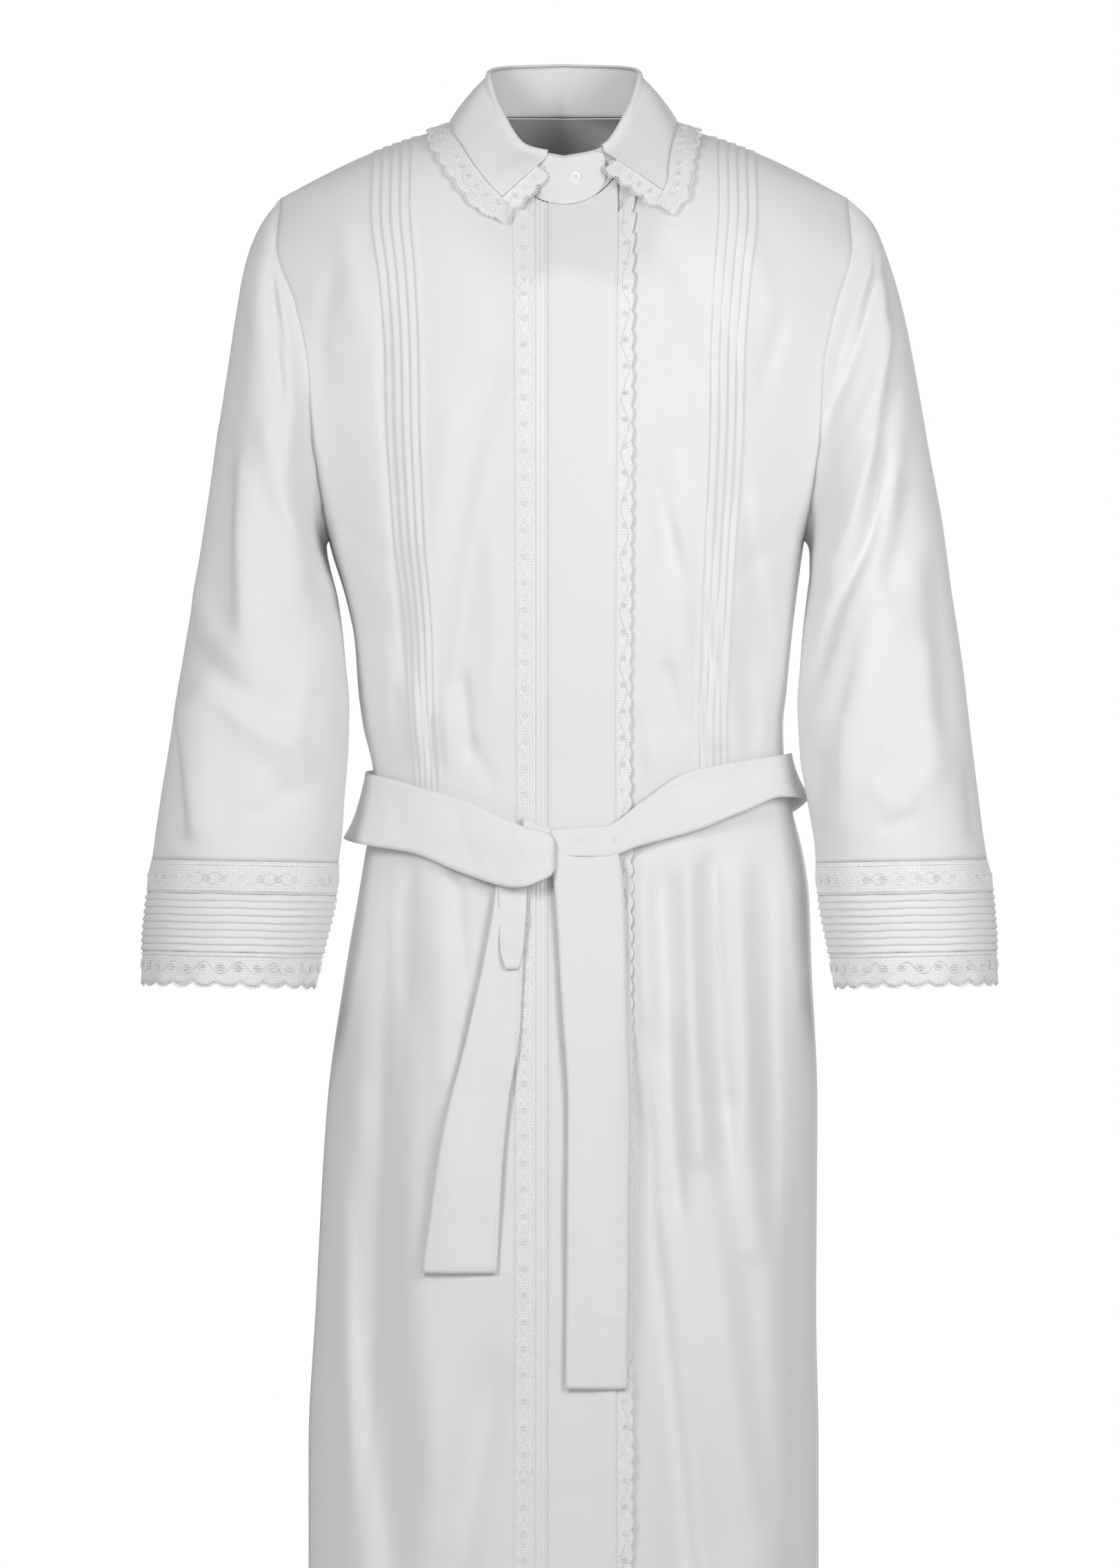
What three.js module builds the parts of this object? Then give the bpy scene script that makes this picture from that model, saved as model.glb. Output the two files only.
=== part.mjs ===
// A kittel: a long white cotton robe with a lapped front, a fold-over collar,
// straight sleeves with tucked cuffs, and a tied cloth belt, in the form it keeps when worn.
// Millimetres, +Z up. The front faces -Y and the wearer's left hand side is at +X.
// The origin is where the neck meets the shoulder line, in the middle of the neck.

import * as THREE from 'three';

// Walls and gaps
const CLOTH = 1.5;
const LACE = 1.1;
const BELT_CLOTH = 1.8;
const SEAM_GAP = 0.3;
const UNDERLAP_DEPTH = 4.2;

// Shoulders, armholes and length
const SHOULDER_HALF = 240;
const SHOULDER_Z = -56;
const UNDERARM_Z = -345;
const HEM_Z = -1290;
const ARMHOLE_HALF_DEPTH = 61;
const SHOULDER_SEAM_Y = 4;

// Neckline
const NECK_HALF = 64;
const NECK_SIDE_Z = 12;
const NECK_FRONT_DROP = 76;
const NECK_BACK_RISE = 2;
const SHOULDER_BOW = 9;

// Lapped front, measured across the chest from the middle of the neck
const LACE_BAND_FROM = -43;
const PINTUCKS_FROM = -25;
const PLACKET_FROM = -14;
const PLACKET_TO = 45;
const EDGE_LACE_TO = 60;
const EDGE_LACE_TOP_Z = -84;
const UNDERLAP_TO = -14;
const UNDERLAP_RAMP_FROM = 66;
const UNDERLAP_RAMP_TO = 84;

// Raised work
const TUCK_COUNT = 5;
const TUCK_PITCH = 8;
const TUCKS_FROM = 122;
const TUCK_RISE = 1.6;
const TUCKS_END_Z = -575;
const PINTUCK_COUNT = 3;
const PINTUCK_RISE = 0.9;
const CUFF_TUCKS = 8;
const CUFF_TUCK_RISE = 1.3;

// Lace scallops
const EDGE_SCALLOP = 28;
const EDGE_SCALLOP_DEPTH = 4;
const CUFF_SCALLOPS = 22;
const CUFF_SCALLOP_DEPTH = 5;
const COLLAR_SCALLOP_DEPTH = 3.5;

function table(columns, ...rows) {
  const names = columns.split(' ');
  return rows.map((row) => Object.fromEntries(names.map((name, index) => [name, row[index]])));
}

// The body from the shoulders to the hem. left and right are the side seams or, above the
// underarm, the armhole seams; front and back are the middle of each panel; seam is the
// depth of the side seam; round is the exponent of the cross-section.
const BODY = table('z left right front back seam round',
  [20, -240, 240, -108, 104, 4, 2.3],
  [-56, -240, 240, -112, 106, 4, 2.3],
  [-98, -243, 243, -118, 110, 4, 2.3],
  [-145, -227, 230, -123, 114, 4, 2.4],
  [-200, -216, 219, -127, 116, 3, 2.4],
  [-256, -213, 216, -128, 116, 2, 2.4],
  [-303, -206, 210, -127, 114, 1, 2.4],
  [-345, -199, 203, -125, 111, 0, 2.4],
  [-396, -184, 196, -122, 107, -2, 2.4],
  [-430, -177, 192, -119, 104, -3, 2.4],
  [-472, -174, 188, -116, 100, -4, 2.4],
  [-501, -170, 185, -113, 98, -5, 2.4],
  [-545, -161, 187, -109, 95, -5, 2.4],
  [-575, -162, 193, -110, 96, -5, 2.4],
  [-610, -168, 202, -114, 101, -5, 2.3],
  [-646, -174, 207, -119, 108, -5, 2.3],
  [-704, -184, 209, -126, 117, -5, 2.2],
  [-820, -200, 214, -134, 127, -5, 2.2],
  [-995, -210, 213, -142, 135, -5, 2.2],
  [-1111, -216, 215, -146, 138, -5, 2.2],
  [-1290, -216, 215, -150, 142, -5, 2.2]);

// The largest folds of the body: soft ridges (rise above 0) and troughs (below 0), each
// from one point to another as seen from the front, width being how far it spreads.
const FRONT = -1;
const BACK = 1;
const BODY_FOLDS = table('face x0 z0 x1 z1 width rise',
  [FRONT, -70, -215, -104, -470, 26, -4],
  [FRONT, -94, -250, -126, -500, 20, 3],
  [FRONT, 66, -90, 120, -190, 30, -4],
  [FRONT, 132, -190, 92, -440, 26, 5],
  [FRONT, 96, -270, 72, -500, 22, -4],
  [FRONT, 150, -330, 128, -510, 18, 5],
  [FRONT, -152, -440, -142, -515, 12, 5],
  [FRONT, -136, -650, -152, -1000, 22, -5],
  [FRONT, -100, -700, -104, -1180, 34, 5],
  [FRONT, 84, -640, 92, -900, 18, -4],
  [FRONT, 104, -620, 112, -860, 16, 5],
  [FRONT, 124, -620, 134, -820, 14, -5],
  [FRONT, 146, -630, 160, -940, 18, 5],
  [FRONT, 78, -780, 140, -1180, 38, -6],
  [FRONT, 172, -900, 178, -1290, 26, 5],
  [FRONT, -178, -820, -186, -1290, 22, 5],
  [BACK, -60, -330, -44, -500, 24, -5],
  [BACK, 70, -300, 52, -505, 26, 5],
  [BACK, 10, -380, 4, -510, 20, 5],
  [BACK, -120, -420, -108, -515, 18, 5],
  [BACK, 128, -400, 116, -510, 18, -5],
  [BACK, -96, -610, -116, -1100, 26, 6],
  [BACK, -40, -620, -48, -1290, 30, -6],
  [BACK, 14, -610, 20, -1000, 24, 5],
  [BACK, 78, -620, 96, -1290, 34, 7],
  [BACK, 134, -640, 150, -1100, 22, -6]);

// Each sleeve from the armhole to the cuff seam. A ring runs through its outermost and
// innermost point, and depth is half its size from front to back.
const SLEEVE_COLUMNS = 'ring outerX outerZ innerX innerZ depth middleY';
const SLEEVES = {
  right: table(SLEEVE_COLUMNS,
    [0, -240, -56, -199, -345, 61, 4],
    [1, -256, -77, -200, -351, 70, 1],
    [2, -269, -110, -199, -360, 76, -3],
    [3, -278, -155, -196, -373, 80, -8],
    [4, -286, -210, -191, -392, 82, -14],
    [5, -294, -268, -187, -418, 82, -21],
    [6, -303, -328, -184, -450, 81, -29],
    [7, -313, -390, -181, -486, 80, -37],
    [8, -323, -452, -182, -524, 78, -44],
    [9, -332, -512, -185, -560, 76, -50],
    [10, -340, -565, -187, -590, 75, -55],
    [11, -347, -614, -190, -617, 74, -59]),
  left: table(SLEEVE_COLUMNS,
    [0, 240, -56, 203, -345, 61, 4],
    [1, 260, -77, 207, -351, 70, 1],
    [2, 274, -110, 208, -360, 76, -3],
    [3, 287, -155, 208, -373, 80, -8],
    [4, 298, -210, 206, -392, 82, -14],
    [5, 308, -268, 203, -418, 82, -21],
    [6, 319, -328, 200, -450, 81, -29],
    [7, 327, -390, 197, -486, 80, -37],
    [8, 336, -452, 198, -524, 78, -44],
    [9, 343, -512, 203, -560, 76, -50],
    [10, 350, -565, 208, -590, 75, -55],
    [11, 356, -614, 212, -617, 74, -59]),
};
const SLEEVE_RINGS = 11;
const RING_SIDES = 16;

// The cuff goes on from the sleeve: heights at its outer edge and how each end sits.
const CUFFS = {
  right: table('z outerX innerX depth middleY',
    [-615, -347, -190, 74, -59],
    [-642, -351, -192, 73, -61],
    [-691, -355, -203, 71, -65],
    [-720, -355, -210, 70, -68]),
  left: table('z outerX innerX depth middleY',
    [-615, 356, 212, 74, -59],
    [-642, 361, 214, 73, -61],
    [-691, 364, 223, 71, -65],
    [-720, 364, 228, 70, -68]),
};
const INSERTION_TOP_Z = -614;
const CUFF_TOP_Z = -642;
const CUFF_END_Z = -691;
const CUFF_LACE_END_Z = -719;

// Sleeve folds, by ring number and by turn round the sleeve: 0 outermost, 90 front.
const SLEEVE_FOLDS = {
  right: table('ring0 turn0 ring1 turn1 width rise',
    [7.6, 18, 9.2, 110, 0.55, -5],
    [7.0, 20, 8.5, 115, 0.5, 4],
    [1.5, 80, 4.2, 96, 0.6, 5],
    [3.0, 30, 7.0, 40, 0.6, -4],
    [4.5, 150, 6.5, 110, 0.6, -5],
    [3.0, 250, 6.5, 300, 0.7, 5],
    [6.5, 230, 8.5, 320, 0.7, -5]),
  left: table('ring0 turn0 ring1 turn1 width rise',
    [1.6, 30, 4.6, 104, 0.5, 5],
    [2.2, 24, 5.2, 98, 0.5, -4],
    [4.8, 42, 7.4, 118, 0.55, -5],
    [9.2, 60, 10.0, 120, 0.7, 4],
    [3.0, 250, 6.5, 290, 0.7, 5],
    [6.5, 230, 8.5, 320, 0.7, -5]),
};

// Round the neck: turn is 0 at the front and grows towards the wearer's left.
const STAND_TOP = table('turn z halfWidth reach',
  [0, -22, 60, 56],
  [30, -15, 61, 56],
  [60, 18, 62, 57],
  [90, 48, 63, 57],
  [135, 55, 63, 57],
  [180, 57, 63, 57]);
const STAND_FROM = -12;
const STAND_TO = 394;
const STAND_UNDER_UNTIL = 46;
const STAND_RAMP_UNTIL = 80;
const TAB_ROUND = 12;

// The collar leaf's lower edge and its lace, as places on the body; turn is where the
// leaf leaves the fold above that place.
const COLLAR = table('turn edgeX edgeZ laceX laceZ',
  [-13, -54, -60, -50, -82],
  [-28, -66, -47, -74, -70],
  [-46, -77, -32, -91, -50],
  [-66, -87, -16, -105, -28],
  [-84, -94, -4, -113, -10],
  [-94, -95, 6, -114, 2],
  [-104, -93, -4, -112, -12],
  [-128, -74, -6, -88, -22],
  [-154, -40, -7, -46, -25],
  [-180, 0, -7, 0, -26],
  [-206, 40, -7, 46, -25],
  [-232, 74, -6, 88, -22],
  [-256, 93, -4, 112, -12],
  [-266, 94, 6, 114, 2],
  [-276, 93, -4, 113, -10],
  [-292, 90, -20, 109, -30],
  [-306, 88, -34, 108, -44],
  [-318, 87, -45, 104, -60],
  [-329, 84, -54, 92, -74]);
const LEAF_ON_BACK_FROM = -94;
const LEAF_ON_BACK_TO = -266;
const LEAF_STEPS = 40;
const LEAF_ROLL = table('out up inOut inUp',
  [-1.5, 2.5, -1.5, 0.95],
  [0.8, 2.4, 0.4, 0.95],
  [2.8, 1.1, 1.5, 0.2],
  [3.9, -2.4, 2.3, -2.4]);
const LEAF_ROWS = 4;
const LEAF_LIFT = 5;
const COLLAR_LACE_LIFT = 5;

// The belt round the waist, from the knot round the wearer's right side, the back and the
// left side to the knot again. top and bottom are its edges, lift is how far its inner
// face stands off the robe, and flare how much further its lower edge does.
const BELT = table('turn top bottom lift flare',
  [-2.5, -594, -632, 9.2, -1],
  [-7, -588, -638, 10.0, 0],
  [-15, -578, -636, 8.2, 0],
  [-27, -564, -625, 4.6, 0],
  [-45, -553, -609, 3.6, 2],
  [-65, -545, -603, 3.0, 8],
  [-90, -541, -597, 2.8, 15],
  [-120, -538, -592, 2.8, 9],
  [-180, -534, -588, 2.8, 3],
  [-240, -529, -580, 2.8, 6],
  [-270, -525, -563, 2.8, 11],
  [-295, -528, -562, 3.0, 6],
  [-315, -533, -575, 3.2, 3],
  [-331, -541, -591, 3.3, 1],
  [-345, -568, -603, 3.3, 0],
  [-353, -587, -612, 3.3, 0],
  [-362, -588, -611, 3.3, 0],
  [-369, -579, -606, 3.3, 0]);
const BELT_STEPS = 56;

// The hanging ends of the belt, as places on the front.
const BELT_ENDS = {
  belt_end_long: table('z left right lift',
    [-593, -12, 40, 6.2],
    [-612, -11, 45, 6.2],
    [-650, -7, 49, 3.8],
    [-736, -2, 51, 3.6],
    [-824, 3, 52, 3.6],
    [-940, 2, 52, 3.6],
    [-1058, 1, 52, 3.6]),
  belt_end_short: table('z left right lift',
    [-617, -56, -32, 3.4],
    [-640, -57, -31, 3.4],
    [-700, -67, -34, 3.4],
    [-759, -81, -37, 3.4],
    [-816, -95, -46, 3.4],
    [-869, -105, -51, 3.4],
    [-961, -118, -56, 3.4]),
  belt_loop: table('z left right lift',
    [-618, -50, -32, 6.1],
    [-641, -54, -31, 5.7],
    [-690, -53, -34, 5.5],
    [-707, -48, -38, 5.5]),
};

const BUTTON_TURN = 8.5;
const BUTTON_Z = -40;
const BUTTON_RADIUS = 5.2;
const BUTTON_THICKNESS = 2.4;

const { clamp, lerp, degToRad: radians } = THREE.MathUtils;
const vector = (x, y, z) => new THREE.Vector3(x, y, z);

// A smooth value of one column of a table, at a place along another column. The slopes are
// limited so that the curve never swings past the rows.
function along(rows, key, place, column) {
  const rising = rows[rows.length - 1][key] > rows[0][key] ? 1 : -1;
  const at = clamp(place * rising, rows[0][key] * rising, rows[rows.length - 1][key] * rising);
  let index = 0;
  while (index < rows.length - 2 && rows[index + 1][key] * rising < at) index += 1;
  const secant = (i) => {
    const step = (rows[i + 1][key] - rows[i][key]) * rising;
    return (rows[i + 1][column] - rows[i][column]) / step;
  };
  const slope = (i) => {
    if (i === 0) return secant(0);
    if (i === rows.length - 1) return secant(i - 1);
    const before = secant(i - 1);
    const after = secant(i);
    return before * after <= 0 ? 0 : (2 * before * after) / (before + after);
  };
  const from = rows[index];
  const to = rows[index + 1];
  const span = (to[key] - from[key]) * rising;
  const t = (at - from[key] * rising) / span;
  const square = t * t;
  const cube = square * t;
  return (2 * cube - 3 * square + 1) * from[column]
    + (cube - 2 * square + t) * span * slope(index)
    + (3 * square - 2 * cube) * to[column]
    + (cube - square) * span * slope(index + 1);
}

function smooth(value) {
  const t = clamp(value, 0, 1);
  return t * t * (3 - 2 * t);
}

// A closed solid from its points and triangles, with its faces turned outwards.
function solid(positions, triangles) {
  let volume = 0;
  const corner = (index) => vector(...positions.slice(index * 3, index * 3 + 3));
  for (let i = 0; i < triangles.length; i += 3) {
    const [a, b, c] = [corner(triangles[i]), corner(triangles[i + 1]), corner(triangles[i + 2])];
    volume += a.dot(b.cross(c));
  }
  const faces = volume > 0 ? triangles : [...triangles].reverse();
  const geometry = new THREE.BufferGeometry();
  geometry.setAttribute('position', new THREE.Float32BufferAttribute(positions, 3));
  geometry.setIndex(faces);
  geometry.computeVertexNormals();
  return geometry;
}

// A wall between an outer and an inner grid of points. A closed wall joins its last column
// to its first; only then may the two grids have different numbers of rows.
function wall(outer, inner, closed = false) {
  const positions = [];
  const triangles = [];
  const put = (point) => {
    positions.push(point.x, point.y, point.z);
    return positions.length / 3 - 1;
  };
  const face = outer.map((row) => row.map(put));
  const rear = inner.map((row) => row.map(put));
  const columns = outer[0].length;
  const spans = closed ? columns : columns - 1;
  const quad = (a, b, c, d) => triangles.push(a, b, c, a, c, d);
  const skin = (grid, turned) => {
    for (let r = 0; r < grid.length - 1; r += 1) {
      for (let c = 0; c < spans; c += 1) {
        const next = (c + 1) % columns;
        const [p, q, s, t] = [grid[r][c], grid[r][next], grid[r + 1][next], grid[r + 1][c]];
        if (turned) triangles.push(p, s, q, p, t, s);
        else quad(p, q, s, t);
      }
    }
  };
  skin(face, false);
  skin(rear, true);
  const faceEnd = face[face.length - 1];
  const rearEnd = rear[rear.length - 1];
  for (let c = 0; c < spans; c += 1) {
    const next = (c + 1) % columns;
    quad(face[0][next], face[0][c], rear[0][c], rear[0][next]);
    quad(faceEnd[c], faceEnd[next], rearEnd[next], rearEnd[c]);
  }
  if (!closed) {
    const end = columns - 1;
    for (let r = 0; r < face.length - 1; r += 1) {
      quad(face[r][0], face[r + 1][0], rear[r + 1][0], rear[r][0]);
      quad(face[r + 1][end], face[r][end], rear[r][end], rear[r + 1][end]);
    }
  }
  return solid(positions, triangles);
}

// Body surface

const ARMHOLE_MIDDLE = (SHOULDER_Z + UNDERARM_Z) / 2;
const ARMHOLE_HALF = (SHOULDER_Z - UNDERARM_Z) / 2;

// 0 at the shoulder point and at the underarm, 1 halfway down the armhole.
function armholeOpening(level) {
  const share = clamp((level - ARMHOLE_MIDDLE) / ARMHOLE_HALF, -1, 1);
  return Math.sqrt(1 - share * share);
}

// The same for cloth away from the armhole, where it starts and ends gently.
function chestOpening(level) {
  return smooth((1 - Math.abs((level - ARMHOLE_MIDDLE) / ARMHOLE_HALF)) / 0.7);
}

// The top of the shoulders, where front and back meet, carried on across the neck.
function ridgeZ(across) {
  const share = (Math.abs(across) - NECK_HALF) / (SHOULDER_HALF - NECK_HALF);
  return lerp(NECK_SIDE_Z, SHOULDER_Z, share) + SHOULDER_BOW * Math.sin(Math.PI * share);
}

// The height of a panel's top edge: the neckline, then the shoulder seam.
function topZ(face, across) {
  if (Math.abs(across) >= NECK_HALF) return ridgeZ(across);
  const share = Math.sqrt(1 - (across / NECK_HALF) ** 2);
  return NECK_SIDE_Z + (face === FRONT ? -NECK_FRONT_DROP * share ** 1.2 : NECK_BACK_RISE * share);
}

function foldRise(face, x, z) {
  let rise = 0;
  for (const fold of BODY_FOLDS) {
    if (fold.face !== face) continue;
    const [runX, runZ] = [fold.x1 - fold.x0, fold.z1 - fold.z0];
    const share = clamp(((x - fold.x0) * runX + (z - fold.z0) * runZ) / (runX ** 2 + runZ ** 2), 0, 1);
    const miss = Math.hypot(x - fold.x0 - share * runX, z - fold.z0 - share * runZ) / fold.width;
    rise += fold.rise * Math.exp(-2.2 * miss * miss);
  }
  const beltZ = -568 - 28 * Math.exp(-((x / 60) ** 2));
  const eased = 1 - Math.exp(-(((z - beltZ) / 42) ** 2));
  return rise * eased;
}

// A point of the body. across is the place measured across the shoulders, and level is
// the height at which that row of the cloth meets the side.
function bodyPoint(face, across, level) {
  const hand = across < 0 ? -1 : 1;
  const side = along(BODY, 'z', level, hand < 0 ? 'left' : 'right');
  const down = clamp((SHOULDER_Z - level) / (SHOULDER_Z - UNDERARM_Z), 0, 1);
  const z = level + (topZ(face, across) - SHOULDER_Z) * (1 - down) ** 2;
  const x = across + (across / SHOULDER_HALF) ** 2 * (side - hand * SHOULDER_HALF);
  const share = clamp(Math.abs(x / side), 0, 1);
  const opening = level > UNDERARM_Z ? lerp(chestOpening(level), armholeOpening(level), share ** 6) : 0;
  const sideY = along(BODY, 'z', level, 'seam') + face * ARMHOLE_HALF_DEPTH * opening;
  const middleY = along(BODY, 'z', z, face === FRONT ? 'front' : 'back');
  const round = along(BODY, 'z', z, 'round');
  const power = lerp(1 / round, 0.9, opening);
  const full = sideY + (middleY - sideY) * (1 - share ** round) ** power;
  const drop = Math.max(0, ridgeZ(across) - z);
  const shoulder = smooth((Math.abs(across) - 20) / 120);
  const roll = face === FRONT ? lerp(1.05, 2.1, shoulder) : lerp(2.6, 2.1, shoulder);
  const fall = face === FRONT ? lerp(150, 125, shoulder) : 125;
  const rounding = (1 - (1 - Math.min(drop / fall, 1)) ** roll) ** (1 / roll);
  const edge = Math.min(1, drop / 60) * (1 - share ** 8);
  const y = SHOULDER_SEAM_Y + (full - SHOULDER_SEAM_Y) * rounding + face * edge * foldRise(face, x, z);
  return vector(x, y, z);
}

// The outward direction of the body there, shared by the panels that meet at a seam.
function bodyNormal(face, across, level) {
  const hand = across < 0 ? -1 : 1;
  const atSide = Math.abs(across) >= SHOULDER_HALF;
  const here = bodyPoint(face, across, level);
  if (atSide && level >= UNDERARM_Z) {
    return vector(0, here.y - SHOULDER_SEAM_Y, here.z - ARMHOLE_MIDDLE).normalize();
  }
  if (atSide) {
    const above = bodyPoint(face, across, level + 2);
    return vector(here.z - above.z, 0, above.x - here.x).multiplyScalar(-hand).normalize();
  }
  if (level >= SHOULDER_Z && Math.abs(across) >= NECK_HALF) {
    const reach = Math.abs(across);
    return vector(hand * (ridgeZ(reach - 0.5) - ridgeZ(reach + 0.5)), 0, 1).normalize();
  }
  const step = 1;
  const [low, high] = [Math.max(across - step, -SHOULDER_HALF), Math.min(across + step, SHOULDER_HALF)];
  const [deep, shallow] = [Math.max(level - step, HEM_Z), Math.min(level + step, SHOULDER_Z)];
  const run = bodyPoint(face, high, level).sub(bodyPoint(face, low, level));
  const rise = bodyPoint(face, across, shallow).sub(bodyPoint(face, across, deep));
  const normal = run.cross(rise).normalize();
  return face === FRONT ? normal : normal.negate();
}

// Where the panels have their points along the neckline.
const PLACKET_COLUMNS = [8, 28];
const NECK_COLUMNS = {
  front: [-NECK_HALF, -59, -51, LACE_BAND_FROM, PINTUCKS_FROM, PLACKET_FROM, ...PLACKET_COLUMNS, PLACKET_TO,
    51, 59, NECK_HALF],
  back: [NECK_HALF, 58, 44, 22],
};

const ARMHOLE_STEPS = RING_SIDES / 2;
const ARMHOLE_LEVELS = Array.from({ length: ARMHOLE_STEPS + 1 },
  (_, step) => ARMHOLE_MIDDLE + ARMHOLE_HALF * Math.cos((Math.PI * step) / ARMHOLE_STEPS));
const LOWER_LEVELS = [-390, -435, -480, -520, -550, -580, -615, -665, -730, -810, -900, -1000, -1100, -1200,
  HEM_Z];
const LEVELS = [...ARMHOLE_LEVELS, ...LOWER_LEVELS];

// A place on the faceted skin that the panels have between two rows, moved out by lift.
function onSkin(face, across, level, lift) {
  let row = 0;
  while (row < LEVELS.length - 2 && LEVELS[row + 1] > level) row += 1;
  const share = clamp((LEVELS[row] - level) / (LEVELS[row] - LEVELS[row + 1]), 0, 1);
  const [upper, lower] = [LEVELS[row], LEVELS[row + 1]].map((stop) => {
    const normal = bodyNormal(face, across, stop);
    return bodyPoint(face, across, stop).addScaledVector(normal, lift);
  });
  return upper.lerp(lower, share);
}

// The place across the shoulders whose cloth reaches x at that level.
function acrossFor(x, level) {
  const hand = x < 0 ? -1 : 1;
  const side = along(BODY, 'z', level, hand < 0 ? 'left' : 'right');
  const bend = (side - hand * SHOULDER_HALF) / SHOULDER_HALF ** 2;
  if (Math.abs(bend * x) < 1e-6) return x;
  return (-1 + Math.sqrt(1 + 4 * bend * x)) / (2 * bend);
}

// The level of the row that reaches height z at that place across.
function levelFor(face, across, z) {
  let [low, high] = [HEM_Z, SHOULDER_Z];
  for (let round = 0; round < 30; round += 1) {
    const middle = (low + high) / 2;
    if (bodyPoint(face, across, middle).z > z) high = middle;
    else low = middle;
  }
  return (low + high) / 2;
}

function onBody(face, x, z, lift) {
  const across = clamp(acrossFor(x, SHOULDER_Z), -SHOULDER_HALF, SHOULDER_HALF);
  return onSkin(face, across, levelFor(face, across, z), lift);
}

// Panels

// What stands up from a panel's outer face: the group of tucks.
function tuckRise(across, level) {
  const place = (Math.abs(across) - TUCKS_FROM) / TUCK_PITCH;
  if (place < 0 || place > TUCK_COUNT) return 0;
  const onPeak = Math.abs((place % 1) - 0.5) < 0.25;
  return onPeak ? TUCK_RISE * smooth((level - TUCKS_END_Z) / 40) : 0;
}

function pintuckRise(across) {
  const pitch = (PLACKET_FROM - PINTUCKS_FROM) / PINTUCK_COUNT;
  const place = (across - PINTUCKS_FROM) / pitch;
  if (place < 0.1 || place > PINTUCK_COUNT - 0.1) return 0;
  return Math.abs((place % 1) - 0.5) < 0.25 ? PINTUCK_RISE : 0;
}

const SIDE_COLUMNS = [240, 236, 228, 214, 195, 176];
const TUCK_COLUMNS = Array.from({ length: 2 * TUCK_COUNT + 1 },
  (_, index) => TUCKS_FROM + (TUCK_COUNT - index / 2) * TUCK_PITCH);
const OUTER_COLUMNS = [...SIDE_COLUMNS, ...TUCK_COLUMNS, 106, 84];
const PINTUCK_COLUMNS = Array.from({ length: 2 * PINTUCK_COUNT + 1 },
  (_, index) => PINTUCKS_FROM + (index * (PLACKET_FROM - PINTUCKS_FROM)) / (2 * PINTUCK_COUNT));

function bodyPanel(face, columns, thickness, raised, sunk) {
  const outer = [];
  const inner = [];
  for (const level of LEVELS) {
    const outerRow = [];
    const innerRow = [];
    for (const across of columns) {
      const base = bodyPoint(face, across, level);
      const normal = bodyNormal(face, across, level);
      const hand = Math.sign(across);
      const atSide = Math.abs(across) >= SHOULDER_HALF;
      const onShoulder = level >= SHOULDER_Z && Math.abs(across) >= NECK_HALF;
      if (onShoulder || (atSide && level <= UNDERARM_Z)) base.y += (face * SEAM_GAP) / 2;
      if (atSide && level >= UNDERARM_Z) base.x -= (hand * SEAM_GAP) / 2;
      const drop = sunk(across);
      outerRow.push(base.clone().addScaledVector(normal, raised(across, level) - drop));
      innerRow.push(base.clone().addScaledVector(normal, -thickness - drop));
    }
    outer.push(outerRow);
    inner.push(innerRow);
  }
  return wall(outer, inner);
}

function frontRight() {
  const neck = NECK_COLUMNS.front.filter((across) => across < LACE_BAND_FROM);
  const columns = [...OUTER_COLUMNS.map((across) => -across), ...neck, LACE_BAND_FROM,
    ...PINTUCK_COLUMNS, ...PLACKET_COLUMNS, PLACKET_TO - SEAM_GAP / 2];
  const raised = (across, level) => tuckRise(across, level) + pintuckRise(across);
  return bodyPanel(FRONT, columns, CLOTH, raised, () => 0);
}

function underlap(across) {
  const ramp = (across - UNDERLAP_RAMP_FROM) / (UNDERLAP_RAMP_TO - UNDERLAP_RAMP_FROM);
  return UNDERLAP_DEPTH * (1 - smooth(ramp));
}

function frontLeft() {
  const neck = NECK_COLUMNS.front.filter((across) => across >= PLACKET_TO);
  const columns = [UNDERLAP_TO, ...PLACKET_COLUMNS, ...neck, 73, ...[...OUTER_COLUMNS].reverse()];
  return bodyPanel(FRONT, columns, CLOTH, tuckRise, underlap);
}

function back() {
  const half = [240, 236, 228, 214, 195, 168, 132, 96, ...NECK_COLUMNS.back];
  const columns = [...half.map((across) => -across), 0, ...[...half].reverse()];
  return bodyPanel(BACK, columns, CLOTH, () => 0, () => 0);
}

// A band that lies on the front, between two faces this far off the panel's outer face.
function frontBand(columns, outerLift, innerLift) {
  const outer = LEVELS.map((level) => columns.map((across) => onSkin(FRONT, across, level, outerLift)));
  const inner = LEVELS.map((level) => columns.map((across) => onSkin(FRONT, across, level, innerLift)));
  return wall(outer, inner);
}

function placket() {
  return frontBand([PLACKET_FROM, ...PLACKET_COLUMNS, PLACKET_TO], SEAM_GAP + CLOTH, SEAM_GAP);
}

function laceBand() {
  return frontBand([LACE_BAND_FROM, PINTUCKS_FROM], SEAM_GAP + LACE, SEAM_GAP);
}

// The lace that stands out from the lapping edge, with a scalloped free edge.
function edgeLace() {
  const count = Math.round((EDGE_LACE_TOP_Z - HEM_Z) / EDGE_SCALLOP);
  const outer = [];
  const inner = [];
  for (let step = 0; step <= 2 * count; step += 1) {
    const level = lerp(EDGE_LACE_TOP_Z, HEM_Z, step / (2 * count));
    const reach = EDGE_LACE_TO + (step % 2 === 0 ? -EDGE_SCALLOP_DEPTH : 0);
    const row = [PLACKET_TO + 2 * SEAM_GAP, reach];
    outer.push(row.map((across) => onSkin(FRONT, across, level, -0.1)));
    inner.push(row.map((across) => onSkin(FRONT, across, level, -0.1 - LACE)));
  }
  return wall(outer, inner);
}

// Sleeves and cuffs

function armholePoint(hand, turn) {
  const face = turn <= 180 ? FRONT : BACK;
  return bodyPoint(face, hand * SHOULDER_HALF, ARMHOLE_MIDDLE + ARMHOLE_HALF * Math.cos(radians(turn)));
}

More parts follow.
